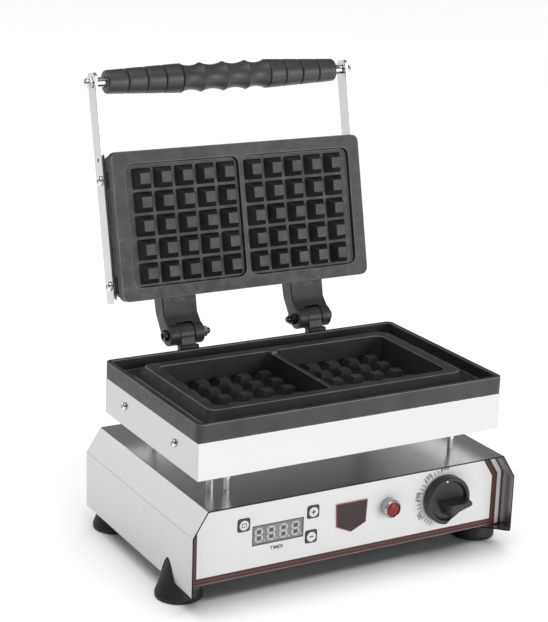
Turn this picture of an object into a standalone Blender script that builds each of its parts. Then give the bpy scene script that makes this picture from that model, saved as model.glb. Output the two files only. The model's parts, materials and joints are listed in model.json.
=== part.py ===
"""Double waffle maker: two cast grid plates, the upper one hinged, above a folded steel base with a
timer, an indicator lamp and a thermostat.

Metres, +Z up, front towards -Y. The origin is on the floor under the middle of the machine's box.
The lid is modelled shut and then swung up about its hinge by its parent empty.
"""

import math

import bmesh
import bpy
from mathutils import Matrix, Vector

# ---------------------------------------------------------------------------------------------
# Driving dimensions
# ---------------------------------------------------------------------------------------------
GAP = 0.0003  # between pieces that touch
SHEET = 0.0012  # folded steel sheet

# The lower casting sets the width and depth of everything above the base.
PLATE_FRONT_Y = -0.1254
PLATE_HALF_WIDTH = 0.150
PLATE_DEPTH = 0.182
PLATE_BOTTOM_Z = 0.1441
PLATE_TOP_Z = 0.160
PLATE_CORNER = 0.006
RIM_WALL = 0.0045
GUTTER_FLOOR_Z = 0.1495

# Base shell: a flat top, sloping shoulders, upright sides and narrow flanges turned in below.
BASE_HALF_WIDTH = 0.160
BASE_TOP_HALF_WIDTH = 0.1465
BASE_FRONT_Y = PLATE_FRONT_Y - 0.0137
BASE_BACK_Y = PLATE_FRONT_Y + 0.198
BASE_BOTTOM_Z = 0.0165
BASE_SHOULDER_Z = 0.0695
BASE_TOP_Z = 0.091
BASE_FLANGE = 0.020
BEND_RADIUS = 0.002
TRAY_Z = 0.0345
TRAY_LIP = 0.010

FOOT_RADIUS = 0.0203
FOOT_TOP_RADIUS = 0.0095
FOOT_HEIGHT = 0.034
FOOT_BAND = 0.004
FOOT_RECESS = 0.0035
FOOT_BORE = 0.0019
FRONT_FOOT = (0.1497, PLATE_FRONT_Y + 0.030)
BACK_FOOT = (0.139, PLATE_FRONT_Y + 0.181)

# Control panel, set back inside the open front of the shell.
LABEL_Y = PLATE_FRONT_Y + 0.0026
LABEL_THICKNESS = 0.0004
PANEL_Y = LABEL_Y + LABEL_THICKNESS + GAP
PANEL_BOTTOM_Z = 0.0182
BACK_PANEL_Y = PLATE_FRONT_Y + 0.188
BACK_PANEL_BOTTOM_Z = 0.0356
DISPLAY_CENTRE = (-0.0716, 0.0532)
DISPLAY_SIZE = (0.0485, 0.0172)
KEY_SIZE = 0.0112
KEY_PROUD = 0.0008
KEY_TRAVEL = 0.0006
KEY_PLACES = {
    "key_set": (-0.1045, 0.0650),
    "key_plus": (-0.0380, 0.0650),
    "key_minus": (-0.0393, 0.0427),
}
BADGE_HALF_WIDTH = 0.0158
BADGE_TOP_Z = 0.0674
BADGE_SHOULDER_Z = 0.0465
BADGE_POINT_Z = 0.0396
LAMP_PLACE = (0.0378, 0.0563)
LAMP_RADIUS = 0.0083
KNOB_PLACE = (0.0955, 0.0543)
KNOB_RADIUS = 0.022
KNOB_DEPTH = 0.0095
# The wedge that fingers hold, as outlines at two heights: a straight upper side and a sloping lower one.
KNOB_WEDGE = (
    (0.005, ((-0.012, 0.0015), (-0.0055, -0.013), (0.0045, -0.018), (0.019, -0.004), (0.0195, 0.0015))),
    (0.0213, ((-0.0055, 0.0006), (-0.0048, -0.002), (0.003, -0.0026), (0.0165, -0.0025), (0.0165, 0.0002))),
)
SHAFT_RADIUS = 0.003

# Skirt box and the posts it stands on.
SKIRT_HALF_WIDTH = 0.149
SKIRT_FRONT_Y = PLATE_FRONT_Y + 0.001
SKIRT_BACK_Y = PLATE_FRONT_Y + PLATE_DEPTH - 0.001
SKIRT_BOTTOM_Z = 0.1114
SKIRT_SHEET = 0.001
SKIRT_SCREW_Z = 0.130
SKIRT_SCREW_DEPTHS = (0.044, 0.141)
POST_RADIUS = 0.0029
POST_STUD_RADIUS = 0.002
POST_X = 0.112
POST_DEPTHS = (0.0205, 0.1615)
CONDUIT_PLACE = (-0.1243, PLATE_FRONT_Y + 0.0265)
CONDUIT_RADIUS = 0.0034

# Waffle cavities and pegs, the same in both plates.
CAVITY_INNER_X = 0.002
CAVITY_OUTER_X = 0.1155
CAVITY_FRONT = 0.0365
CAVITY_BACK = 0.1468
CAVITY_FLOOR_Z = 0.135
CAVITY_CORNER = 0.007
HEATER_RADIUS = 0.0038
PEG_PITCH = 0.02115
PEG_BASE = 0.018
PEG_TIP = 0.0098
PEG_HEIGHT = 0.010
PEG_COLUMN_X = 0.0142
PEG_ROW = 0.0500
PEGS_ACROSS = 5

# Lid, in its shut place.
HINGE_Y = PLATE_FRONT_Y + 0.193
HINGE_Z = 0.171
OPEN_ANGLE = math.radians(103.0)
LID_FACE_Z = PLATE_TOP_Z + 0.0005
LID_RIM_HALF_WIDTH = 0.1277
LID_RIM_FRONT = 0.025
LID_RIM_BACK = 0.1581
LID_RIM_THICKNESS = 0.010
LID_BODY_INSET = 0.003
LID_BACK_Z = 0.186
LID_RECESS = 0.004
LID_PEG_HEIGHT = 0.009
COVER_INSET = 0.0095
COVER_TOP_Z = 0.205

HINGE_X = 0.067
LUG_HALF_WIDTH = 0.0073
EAR_INNER = 0.0078
EAR_OUTER = 0.0173
EAR_RADIUS = 0.010
BOLT_RADIUS = 0.003

ARM_INNER_X = LID_RIM_HALF_WIDTH + GAP
ARM_THICKNESS = 0.003
ARM_HALF_WIDTH = 0.008
ARM_Z = 0.182
ARM_BACK = 0.1593
ARM_SCREW_DEPTHS = (0.1436, 0.0495)
ARM_SPARE_HOLE = 0.031
HANDLE_DEPTH = -0.0375
HANDLE_Z = 0.1825
ROD_RADIUS = 0.0046
ROD_STUD_RADIUS = 0.003
GRIP_HALF_LENGTH = 0.118
GRIP_END_RADIUS = 0.0105
GRIP_RADIUS = 0.0134
GRIP_GROOVES = (0.0984, 0.0801, 0.0618)
GRIP_RIDGES = (0.0442, 0.0232, 0.0)
GRIP_SCALLOP = 0.0019


def depth(distance):
    """Y of a place this far behind the front face of the lower casting."""
    return PLATE_FRONT_Y + distance


# ---------------------------------------------------------------------------------------------
# Scene, materials and object helpers
# ---------------------------------------------------------------------------------------------
def clear_scene():
    for obj in list(bpy.data.objects):
        bpy.data.objects.remove(obj, do_unlink=True)
    for mesh in list(bpy.data.meshes):
        bpy.data.meshes.remove(mesh)


def new_collection(name):
    collection = bpy.data.collections.new(name)
    bpy.context.scene.collection.children.link(collection)
    return collection


def material(name, colour, roughness, metallic=0.0):
    mat = bpy.data.materials.new(name)
    mat.use_nodes = True
    shader = mat.node_tree.nodes["Principled BSDF"]
    shader.inputs["Base Color"].default_value = (*colour, 1.0)
    shader.inputs["Roughness"].default_value = roughness
    shader.inputs["Metallic"].default_value = metallic
    mat.diffuse_color = (*colour, 1.0)
    return mat


clear_scene()
PARTS = new_collection("waffle_maker")
CUTTERS = new_collection("cutters")

CASTING = ("cast_plate", (0.075, 0.075, 0.078), 0.55, 0.3)
CAST_FITTING = ("cast_fitting", (0.06, 0.06, 0.062), 0.5, 0.4)
STEEL = ("brushed_steel", (0.80, 0.80, 0.80), 0.28, 1.0)
FASTENER = ("fastener_steel", (0.72, 0.72, 0.73), 0.2, 1.0)
GALVANISED = ("galvanised_sheet", (0.55, 0.57, 0.58), 0.45, 0.9)
RUBBER = ("foot_rubber", (0.02, 0.02, 0.02), 0.75, 0.0)
BAKELITE = ("grip_plastic", (0.07, 0.07, 0.072), 0.6, 0.0)
KNOB_PLASTIC = ("knob_plastic", (0.05, 0.052, 0.052), 0.4, 0.0)
LABEL_FILM = ("label_film", (0.86, 0.86, 0.86), 0.35, 0.0)
BADGE_ENAMEL = ("badge_enamel", (0.09, 0.035, 0.03), 0.4, 0.0)
DISPLAY_LENS = ("display_lens", (0.25, 0.25, 0.25), 0.2, 0.0)
KEY_PLASTIC = ("key_plastic", (0.06, 0.06, 0.06), 0.45, 0.0)
CHROME = ("bezel_chrome", (0.85, 0.85, 0.86), 0.08, 1.0)
RED_LENS = ("lamp_lens", (0.55, 0.03, 0.02), 0.15, 0.0)
BOARD = ("circuit_board", (0.03, 0.16, 0.07), 0.5, 0.0)
HOUSING = ("black_housing", (0.04, 0.04, 0.04), 0.5, 0.0)
CERAMIC = ("terminal_ceramic", (0.85, 0.83, 0.78), 0.4, 0.0)
HEATER = ("heater_sheath", (0.28, 0.27, 0.26), 0.5, 0.8)


def finish(spec):
    """The material of one finish, made the first time it is asked for."""
    name, colour, roughness, metallic = spec
    found = bpy.data.materials.get(name)
    return found or material(name, colour, roughness, metallic)


def place(obj, spec, parent=None):
    """Puts an object among the parts, or among the cutters when it has no finish."""
    if spec:
        PARTS.objects.link(obj)
        obj.data.materials.clear()
        obj.data.materials.append(finish(spec))
    else:
        CUTTERS.objects.link(obj)
        obj.hide_render = True
        obj.display_type = "WIRE"
    if parent:
        obj.parent = parent
        obj.matrix_parent_inverse = Matrix.Translation(-parent.location)
    return obj


def from_bmesh(name, bm, spec, parent=None, smooth=False):
    mesh = bpy.data.meshes.new(name)
    bmesh.ops.recalc_face_normals(bm, faces=bm.faces)
    bm.to_mesh(mesh)
    bm.free()
    if smooth:
        mesh.shade_smooth()
        mesh.set_sharp_from_angle(angle=math.radians(35))
    return place(bpy.data.objects.new(name, mesh), spec, parent)


def boolean(target, other, operation="DIFFERENCE"):
    modifier = target.modifiers.new(f"{operation.lower()}_{other.name}", "BOOLEAN")
    modifier.operation = operation
    modifier.solver = "EXACT"
    modifier.object = other


def empty(name, location):
    obj = bpy.data.objects.new(name, None)
    obj.location = location
    obj.empty_display_size = 0.03
    PARTS.objects.link(obj)
    return obj


# ---------------------------------------------------------------------------------------------
# Shapes
# ---------------------------------------------------------------------------------------------
def add_frustum(bm, low, high, z_low, z_high, corner=0.0, segments=3):
    """A block between two rectangles (x0, x1, y0, y1), with its upright edges rounded."""
    made = bmesh.ops.create_cube(bm, size=2.0)["verts"]
    for vert in made:
        x0, x1, y0, y1 = low if vert.co.z < 0 else high
        vert.co = (
            x0 if vert.co.x < 0 else x1,
            y0 if vert.co.y < 0 else y1,
            z_low if vert.co.z < 0 else z_high,
        )
    if corner:
        upright = [
            edge
            for edge in {e for v in made for e in v.link_edges}
            if abs(edge.verts[0].co.z - edge.verts[1].co.z) > 1e-6
        ]
        upright.sort(key=lambda edge: tuple(edge.verts[0].co))
        bmesh.ops.bevel(
            bm, geom=upright, offset=corner, segments=segments, affect="EDGES", profile=0.5
        )


def frustum(name, low, high, z_low, z_high, spec, parent=None, corner=0.0):
    bm = bmesh.new()
    add_frustum(bm, low, high, z_low, z_high, corner)
    return from_bmesh(name, bm, spec, parent)


def block(name, low, high, spec, parent=None, corner=0.0):
    """A box from its lowest to its highest corner."""
    rect = (low[0], high[0], low[1], high[1])
    return frustum(name, rect, rect, low[2], high[2], spec, parent, corner)


def cylinder(name, radius, start, end, spec, parent=None, segments=24, end_radius=None):
    """A round bar, or a cone, from one point to another."""
    start, end = Vector(start), Vector(end)
    bm = bmesh.new()
    bmesh.ops.create_cone(
        bm,
        cap_ends=True,
        segments=segments,
        radius1=radius,
        radius2=radius if end_radius is None else end_radius,
        depth=(end - start).length,
    )
    obj = from_bmesh(name, bm, spec, parent, smooth=True)
    obj.location = (start + end) / 2
    obj.rotation_euler = (end - start).to_track_quat("Z", "Y").to_euler()
    return obj


def turned(name, profile, spec, location, rotation=(0, 0, 0), parent=None, ring=False, steps=20):
    """A profile of (radius, height) turned about its Z axis. A ring's profile closes on itself."""
    mesh = bpy.data.meshes.new(name)
    edges = [(i, i + 1) for i in range(len(profile) - 1)]
    if ring:
        edges.append((len(profile) - 1, 0))
    mesh.from_pydata([(radius, 0, height) for radius, height in profile], edges, [])
    obj = place(bpy.data.objects.new(name, mesh), spec, parent)
    screw = obj.modifiers.new("turn", "SCREW")
    screw.steps = screw.render_steps = steps
    screw.use_merge_vertices = True
    screw.merge_threshold = 1e-6
    screw.use_smooth_shade = True
    obj.location = location
    obj.rotation_euler = rotation
    return obj


def circle(centre, radius, count=24, start=0.0):
    return [
        (
            centre[0] + radius * math.cos(start + math.tau * i / count),
            centre[1] + radius * math.sin(start + math.tau * i / count),
        )
        for i in range(count)
    ]


def arc(centre, radius, first, last, count):
    """Points from one angle to another, in degrees."""
    angles = [math.radians(first + (last - first) * i / count) for i in range(count + 1)]
    return [(centre[0] + radius * math.cos(a), centre[1] + radius * math.sin(a)) for a in angles]


def rectangle(centre, size, corner=0.0):
    half_x, half_y = size[0] / 2, size[1] / 2
    if not corner:
        signs = ((-1, -1), (1, -1), (1, 1), (-1, 1))
        return [(centre[0] + sx * half_x, centre[1] + sy * half_y) for sx, sy in signs]
    points = []
    for sx, sy, first in ((1, 1, 0), (-1, 1, 90), (-1, -1, 180), (1, -1, 270)):
        middle = (centre[0] + sx * (half_x - corner), centre[1] + sy * (half_y - corner))
        points += arc(middle, corner, first, first + 90, 3)
    return points


def plate(name, outlines, thickness, spec, location, rotation, parent=None):
    """A flat piece from its outline, the first, and its holes, cut from the sheet's middle plane."""
    curve = bpy.data.curves.new(name, "CURVE")
    curve.dimensions = "2D"
    curve.fill_mode = "BOTH"
    curve.extrude = thickness / 2
    for outline in outlines:
        spline = curve.splines.new("POLY")
        spline.points.add(len(outline) - 1)
        for point, (x, y) in zip(spline.points, outline):
            point.co = (x, y, 0, 1)
        spline.use_cyclic_u = True
    obj = place(bpy.data.objects.new(name, curve), spec, parent)
    obj.location = location
    obj.rotation_euler = rotation
    return obj


FACING_FRONT = (math.radians(90), 0, 0)
FACING_SIDE = (math.radians(90), 0, math.radians(90))


def upright_plate(name, outlines, thickness, spec, front_y, parent=None):
    """A plate standing across the machine, drawn in (x, z), with its front face at front_y."""
    place_at = (0, front_y + thickness / 2, 0)
    return plate(name, outlines, thickness, spec, place_at, FACING_FRONT, parent)


def side_plate(name, outlines, thickness, spec, middle_x, parent=None):
    """A plate standing along the machine, drawn in (y, z), about the plane x = middle_x."""
    return plate(name, outlines, thickness, spec, (middle_x, 0, 0), FACING_SIDE, parent)


def as_mesh(curve_obj):
    """The same object with its curve made into a welded mesh, which can take and be a Boolean."""
    bpy.context.view_layer.update()
    graph = bpy.context.evaluated_depsgraph_get()
    mesh = bpy.data.meshes.new_from_object(curve_obj.evaluated_get(graph))
    bm = bmesh.new()
    bm.from_mesh(mesh)
    bmesh.ops.remove_doubles(bm, verts=bm.verts, dist=1e-6)
    bmesh.ops.recalc_face_normals(bm, faces=bm.faces)
    bm.to_mesh(mesh)
    bm.free()
    name, parent, inverse = curve_obj.name, curve_obj.parent, curve_obj.matrix_parent_inverse.copy()
    basis = curve_obj.matrix_basis.copy()
    homes = list(curve_obj.users_collection)
    bpy.data.objects.remove(curve_obj, do_unlink=True)
    obj = bpy.data.objects.new(name, mesh)
    for home in homes:
        home.objects.link(obj)
    obj.parent, obj.matrix_parent_inverse, obj.matrix_basis = parent, inverse, basis
    if homes == [CUTTERS]:
        obj.hide_render = True
        obj.display_type = "WIRE"
    return obj


def tube(name, points, radius, spec, parent=None, radii=None):
    """A round rod along a path, thicker where radii says so, as a multiple of its radius."""
    curve = bpy.data.curves.new(name, "CURVE")
    curve.dimensions = "3D"
    curve.bevel_depth = radius
    curve.bevel_resolution = 2
    curve.use_fill_caps = True
    spline = curve.splines.new("POLY")
    spline.points.add(len(points) - 1)
    for i, point in enumerate(points):
        spline.points[i].co = (*point, 1)
        spline.points[i].radius = radii[i] if radii else 1.0
    return place(bpy.data.objects.new(name, curve), spec, parent)


def filleted(points, radius, count=3):
    """An open path of (x, z) with each corner between its ends rounded."""
    path = [points[0]]
    for before, corner, after in zip(points, points[1:], points[2:]):
        corner = Vector(corner)
        inward, outward = (Vector(before) - corner).normalized(), (Vector(after) - corner).normalized()
        half = inward.angle(outward) / 2
        middle = corner + (inward + outward).normalized() * radius / math.sin(half)
        start = corner + inward * radius / math.tan(half) - middle
        sweep = start.angle_signed(corner + outward * radius / math.tan(half) - middle)
        path += [tuple(middle + Matrix.Rotation(-sweep * i / count, 2) @ start) for i in range(count + 1)]
    path.append(points[-1])
    return path


def folded_sheet(name, profile, y_start, y_end, thickness, spec, bend=BEND_RADIUS, upwards=False):
    """Sheet bent along a path of (x, z), its outer face, from one y to the other. The thickness of its
    widest panel goes down from there, or upwards."""
    bm = bmesh.new()
    verts = [bm.verts.new((x, y_start, z)) for x, z in filleted(profile, bend)]
    edges = [bm.edges.new(pair) for pair in zip(verts, verts[1:])]
    made = bmesh.ops.extrude_edge_only(bm, edges=edges)["geom"]
    far = [item for item in made if isinstance(item, bmesh.types.BMVert)]
    bmesh.ops.translate(bm, verts=far, vec=(0, y_end - y_start, 0))
    obj = from_bmesh(name, bm, spec)
    solidify = obj.modifiers.new("thickness", "SOLIDIFY")
    solidify.thickness = thickness
    solidify.use_even_offset = True
    widest = max(obj.data.polygons, key=lambda face: face.area)
    solidify.offset = 1.0 if (widest.normal.z > 0) == upwards else -1.0
    return obj


def open_box(name, low, high, open_side, thickness, spec, parent=None, corner=0.0):
    """A thin box with its top (open_side 1) or bottom (-1) missing, measured outside."""
    bm = bmesh.new()
    rect = (low[0], high[0], low[1], high[1])
    add_frustum(bm, rect, rect, low[2], high[2], corner)
    bm.normal_update()
    missing = [face for face in bm.faces if face.normal.z * open_side > 0.9]
    bmesh.ops.delete(bm, geom=missing, context="FACES")
    mesh = bpy.data.meshes.new(name)
    bm.to_mesh(mesh)
    bm.free()
    obj = place(bpy.data.objects.new(name, mesh), spec, parent)
    solidify = obj.modifiers.new("thickness", "SOLIDIFY")
    solidify.thickness = thickness
    solidify.use_even_offset = True
    solidify.offset = -1.0
    return obj


def domed_head(radius, height):
    """Half of a domed screw head's outline, from its crown down to its rim."""
    crown = [(radius * math.sin(a), height * math.cos(a)) for a in (0, 0.5, 0.95, 1.3)]
    return crown + [(radius, 0.0)]


def machine_screw(name, head, shank, location, rotation, spec=FASTENER, parent=None):
    """A domed screw whose head sits on local z = 0 and whose shank runs down."""
    profile = domed_head(*head) + [(shank[0], 0.0), (shank[0], -shank[1]), (0.0, -shank[1])]
    return turned(name, profile, spec, location, rotation, parent, steps=16)


# ---------------------------------------------------------------------------------------------
# Base
# ---------------------------------------------------------------------------------------------
FEET = {
    f"foot_{end}_{side}": (sign * x, y)
    for end, (x, y) in (("front", FRONT_FOOT), ("back", BACK_FOOT))
    for side, sign in (("left", -1), ("right", 1))
}
POSTS = {
    f"post_{end}_{side}": (sign * POST_X, depth(distance))
    for end, distance in zip(("front", "back"), POST_DEPTHS)
    for side, sign in (("left", -1), ("right", 1))
}


def shell_outline(inset, bottom):
    """The inside of the shell as an outline of (x, z), this far in from its outer face."""
    slope = math.atan2(BASE_TOP_Z - BASE_SHOULDER_Z, BASE_HALF_WIDTH - BASE_TOP_HALF_WIDTH)
    side = BASE_HALF_WIDTH - inset
    shoulder = BASE_SHOULDER_Z - inset * math.tan((math.pi / 2 - slope) / 2)
    top = BASE_TOP_HALF_WIDTH - inset * math.tan(slope / 2)
    right = [(side, bottom), (side, shoulder), (top, BASE_TOP_Z - inset)]
    return right + [(-x, z) for x, z in reversed(right)]


def make_base_shell():
    inner = BASE_HALF_WIDTH - BASE_FLANGE
    right = [
        (BASE_TOP_HALF_WIDTH, BASE_TOP_Z),
        (BASE_HALF_WIDTH, BASE_SHOULDER_Z),
        (BASE_HALF_WIDTH, BASE_BOTTOM_Z),
        (inner, BASE_BOTTOM_Z),
    ]
    profile = [(-x, z) for x, z in reversed(right)] + right
    shell = folded_sheet("base_shell", profile, BASE_FRONT_Y, BASE_BACK_Y, SHEET, STEEL)
    for name, (x, y) in FEET.items():
        slope = (FOOT_RADIUS - FOOT_TOP_RADIUS) / (FOOT_HEIGHT - FOOT_BAND)
        clearance = 0.0008
        low, high = BASE_BOTTOM_Z - 0.004, FOOT_HEIGHT + 0.002
        cutter = cylinder(
            f"clearance_{name}",
            FOOT_RADIUS - slope * (low - FOOT_BAND) + clearance,
            (x, y, low),
            (x, y, high),
            None,
            end_radius=FOOT_RADIUS - slope * (high - FOOT_BAND) + clearance,
            segments=20,
        )
        boolean(shell, cutter)
    cut_flange_mitres(shell)
    holes = {name: (*spot, POST_STUD_RADIUS + 0.0004) for name, spot in POSTS.items()}
    holes["conduit"] = (*CONDUIT_PLACE, CONDUIT_RADIUS + 0.0004)
    for name, (x, y, radius) in holes.items():
        ends = (x, y, BASE_TOP_Z - 0.01), (x, y, BASE_TOP_Z + 0.005)
        boolean(shell, cylinder(f"shell_hole_{name}", radius, *ends, None, segments=16))


def cut_flange_mitres(shell):
    """Cuts the four ends of the bottom flanges at 45 degrees, from the wall's inner face inwards."""
    length = 0.036
    for side in (-1, 1):
        for end, y in ((-1, BASE_FRONT_Y), (1, BASE_BACK_Y)):
            start = Vector((side * (BASE_HALF_WIDTH - SHEET), y, BASE_BOTTOM_Z))
            along = Vector((-side, -end, 0)).normalized()
            outwards = Vector((-side, end, 0)).normalized()
            cutter = block(
                f"mitre_{'left' if side < 0 else 'right'}_{'front' if end < 0 else 'back'}",
                (-length / 2, -length / 2, -0.003),
                (length / 2, length / 2, 0.003),
                None,
            )
            cutter.location = start + (along + outwards) * length / 2
            cutter.rotation_euler = (0, 0, math.atan2(along.y, along.x))
            boolean(shell, cutter)


def make_tray():
    """Folded bottom tray, set up inside the shell, that the feet and the wiring are fixed to."""
    side = BASE_HALF_WIDTH - SHEET - GAP
    profile = [
        (-side, TRAY_Z + TRAY_LIP),
        (-side, TRAY_Z),
        (side, TRAY_Z),
        (side, TRAY_Z + TRAY_LIP),
    ]
    front, back = PANEL_Y + SHEET + 0.0008, BACK_PANEL_Y - 0.0008
    folded_sheet("bottom_tray", profile, front, back, 0.001, GALVANISED, bend=0.0015, upwards=True)


def make_feet():
    """Conical rubber feet, with a shallow recess below and a narrow bore for the screw that holds them."""
    profile = [
        (FOOT_TOP_RADIUS, FOOT_HEIGHT),
        (FOOT_RADIUS, FOOT_BAND),
        (FOOT_RADIUS, 0.001),
        (FOOT_RADIUS - 0.001, 0.0),
        (0.009, 0.0),
        (0.0085, FOOT_RECESS),
        (FOOT_BORE, FOOT_RECESS),
        (FOOT_BORE, FOOT_HEIGHT),
    ]
    for name, (x, y) in FEET.items():
        turned(name, profile, RUBBER, (x, y, 0), ring=True, steps=22)


def make_panels():
    x, z = DISPLAY_CENTRE
    clear = 0.0004
    holes = [
        rectangle((x, z), (DISPLAY_SIZE[0] + 2 * clear, DISPLAY_SIZE[1] + 2 * clear)),
        circle(LAMP_PLACE, 0.0066, 20),
        circle(KNOB_PLACE, 0.0052, 20),
    ]
    key_hole = KEY_SIZE + 2 * clear
    holes += [rectangle(spot, (key_hole, key_hole), 0.0022) for spot in KEY_PLACES.values()]
    outline = shell_outline(SHEET + 0.0004, PANEL_BOTTOM_Z)
    upright_plate("front_panel", [outline] + holes, SHEET, STEEL, PANEL_Y)
    label = shell_outline(SHEET + 0.0012, PANEL_BOTTOM_Z + 0.0006)
    upright_plate("panel_label", [label] + holes, LABEL_THICKNESS, LABEL_FILM, LABEL_Y)
    gland = circle((0.105, 0.052), 0.0083, 20)
    back_outline = shell_outline(SHEET + 0.0004, BACK_PANEL_BOTTOM_Z)
    upright_plate("back_panel", [back_outline, gland], SHEET, STEEL, BACK_PANEL_Y)


def make_badge():
    half = BADGE_HALF_WIDTH
    shield = [
        (-half, BADGE_TOP_Z),
        (half, BADGE_TOP_Z),
        (half - 0.001, BADGE_SHOULDER_Z),
        (0.0, BADGE_POINT_Z),
        (-half + 0.001, BADGE_SHOULDER_Z),
    ]
    thickness = 0.0006
    upright_plate("badge_plate", [shield], thickness, BADGE_ENAMEL, LABEL_Y - GAP - thickness)


def make_timer():
    """Display window, keys and the board behind them with its three switches."""
    x, z = DISPLAY_CENTRE
    width, height = DISPLAY_SIZE
    board_front = PANEL_Y + 0.0105
    block(
        "display_window",
        (x - width / 2, LABEL_Y + 0.0002, z - height / 2),
        (x + width / 2, board_front - GAP, z + height / 2),
        DISPLAY_LENS,
    )
    switch = 0.0031
    key_back = PANEL_Y + 0.0048
    outline = rectangle((-0.0715, 0.0545), (0.084, 0.034))
    board = upright_plate("timer_board", [outline], 0.0016, BOARD, board_front)
    board = as_mesh(board)
    for name, spot in KEY_PLACES.items():
        front = LABEL_Y - KEY_PROUD
        key_rectangle = rectangle((0, 0), (KEY_SIZE, KEY_SIZE), 0.002)
        thickness = key_back - front
        place_at = (spot[0], front + thickness / 2, spot[1])
        plate(name, [key_rectangle], thickness, KEY_PLASTIC, place_at, FACING_FRONT)
        body = block(
            f"switch_{name}",
            (spot[0] - switch, key_back + KEY_TRAVEL + GAP, spot[1] - switch),
            (spot[0] + switch, board_front + 0.0004, spot[1] + switch),
            None,
        )
        boolean(board, body, "UNION")


def make_lamp():
    """Chrome bezel with its threaded barrel through the panel, its red lens and its lamp holder."""
    x, z = LAMP_PLACE
    barrel, bore = 0.0062, 0.0048
    proud = 0.0085
    bezel = [
        (LAMP_RADIUS - 0.0006, proud),
        (LAMP_RADIUS, proud - 0.0008),
        (LAMP_RADIUS, GAP),
        (barrel, GAP),
        (barrel, -0.012),
        (bore, -0.012),
        (bore, proud - 0.003),
        (LAMP_RADIUS - 0.0014, proud - 0.003),
        (LAMP_RADIUS - 0.0014, proud),
    ]
    front = (math.radians(90), 0, 0)
    turned("indicator_bezel", bezel, CHROME, (x, LABEL_Y, z), front, ring=True, steps=18)
    lens_radius = LAMP_RADIUS - 0.0017
    crown = [(lens_radius * math.sin(a), proud - 0.0012 + 0.0016 * math.cos(a)) for a in (0, 0.5, 1.0)]
    lens = crown + [(lens_radius, proud - 0.0009), (lens_radius, proud - 0.0027), (0.0, proud - 0.0027)]
    turned("indicator_lens", lens, RED_LENS, (x, LABEL_Y, z), front, steps=18)
    holder = [(0.0, 0.004), (0.0036, 0.0025), (0.0044, 0.002), (0.0044, -0.018), (0.0, -0.018)]
    turned("indicator_lamp", holder, CERAMIC, (x, LABEL_Y, z), front, steps=16)


def make_thermostat():
    """Rod thermostat behind the panel, its shaft and the pointer knob on it."""
    x, z = KNOB_PLACE
    back = PANEL_Y + SHEET + GAP
    body = block(
        "thermostat_body",
        (x - 0.018, back, z - 0.016),
        (x + 0.018, back + 0.030, z + 0.016),
        HOUSING,
        corner=0.003,
    )
    bore = cylinder("shaft_bore", SHAFT_RADIUS + 0.0004, (x, back - 0.001, z), (x, back + 0.0113, z), None)
    boolean(body, bore)
    cylinder("thermostat_shaft", SHAFT_RADIUS, (x, LABEL_Y - 0.0065, z), (x, back + 0.010, z), FASTENER)
    rim = KNOB_RADIUS
    knob_back = 0.0008
    skirt = [
        (0.0, KNOB_DEPTH + 0.0006),
        (rim * 0.62, KNOB_DEPTH + 0.0006),
        (rim - 0.0022, KNOB_DEPTH - 0.0006),
        (rim - 0.0008, KNOB_DEPTH - 0.0022),
        (rim, knob_back + 0.001),
        (rim - 0.0006, knob_back),
        (0.0, knob_back),
    ]
    knob = turned("thermostat_knob", skirt, KNOB_PLASTIC, (x, LABEL_Y, z), FACING_FRONT, steps=32)
    bm = bmesh.new()
    for height, outline in KNOB_WEDGE:
        for point in outline:
            bm.verts.new((*point, height))
    bmesh.ops.convex_hull(bm, input=bm.verts)
    wedge = from_bmesh("knob_wedge", bm, None)
    wedge.location, wedge.rotation_euler = knob.location, FACING_FRONT
    boolean(knob, wedge, "UNION")
    socket = cylinder(
        "knob_socket", SHAFT_RADIUS + GAP, (x, LABEL_Y + 0.002, z), (x, LABEL_Y - 0.0069, z), None
    )
    boolean(knob, socket)


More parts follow.
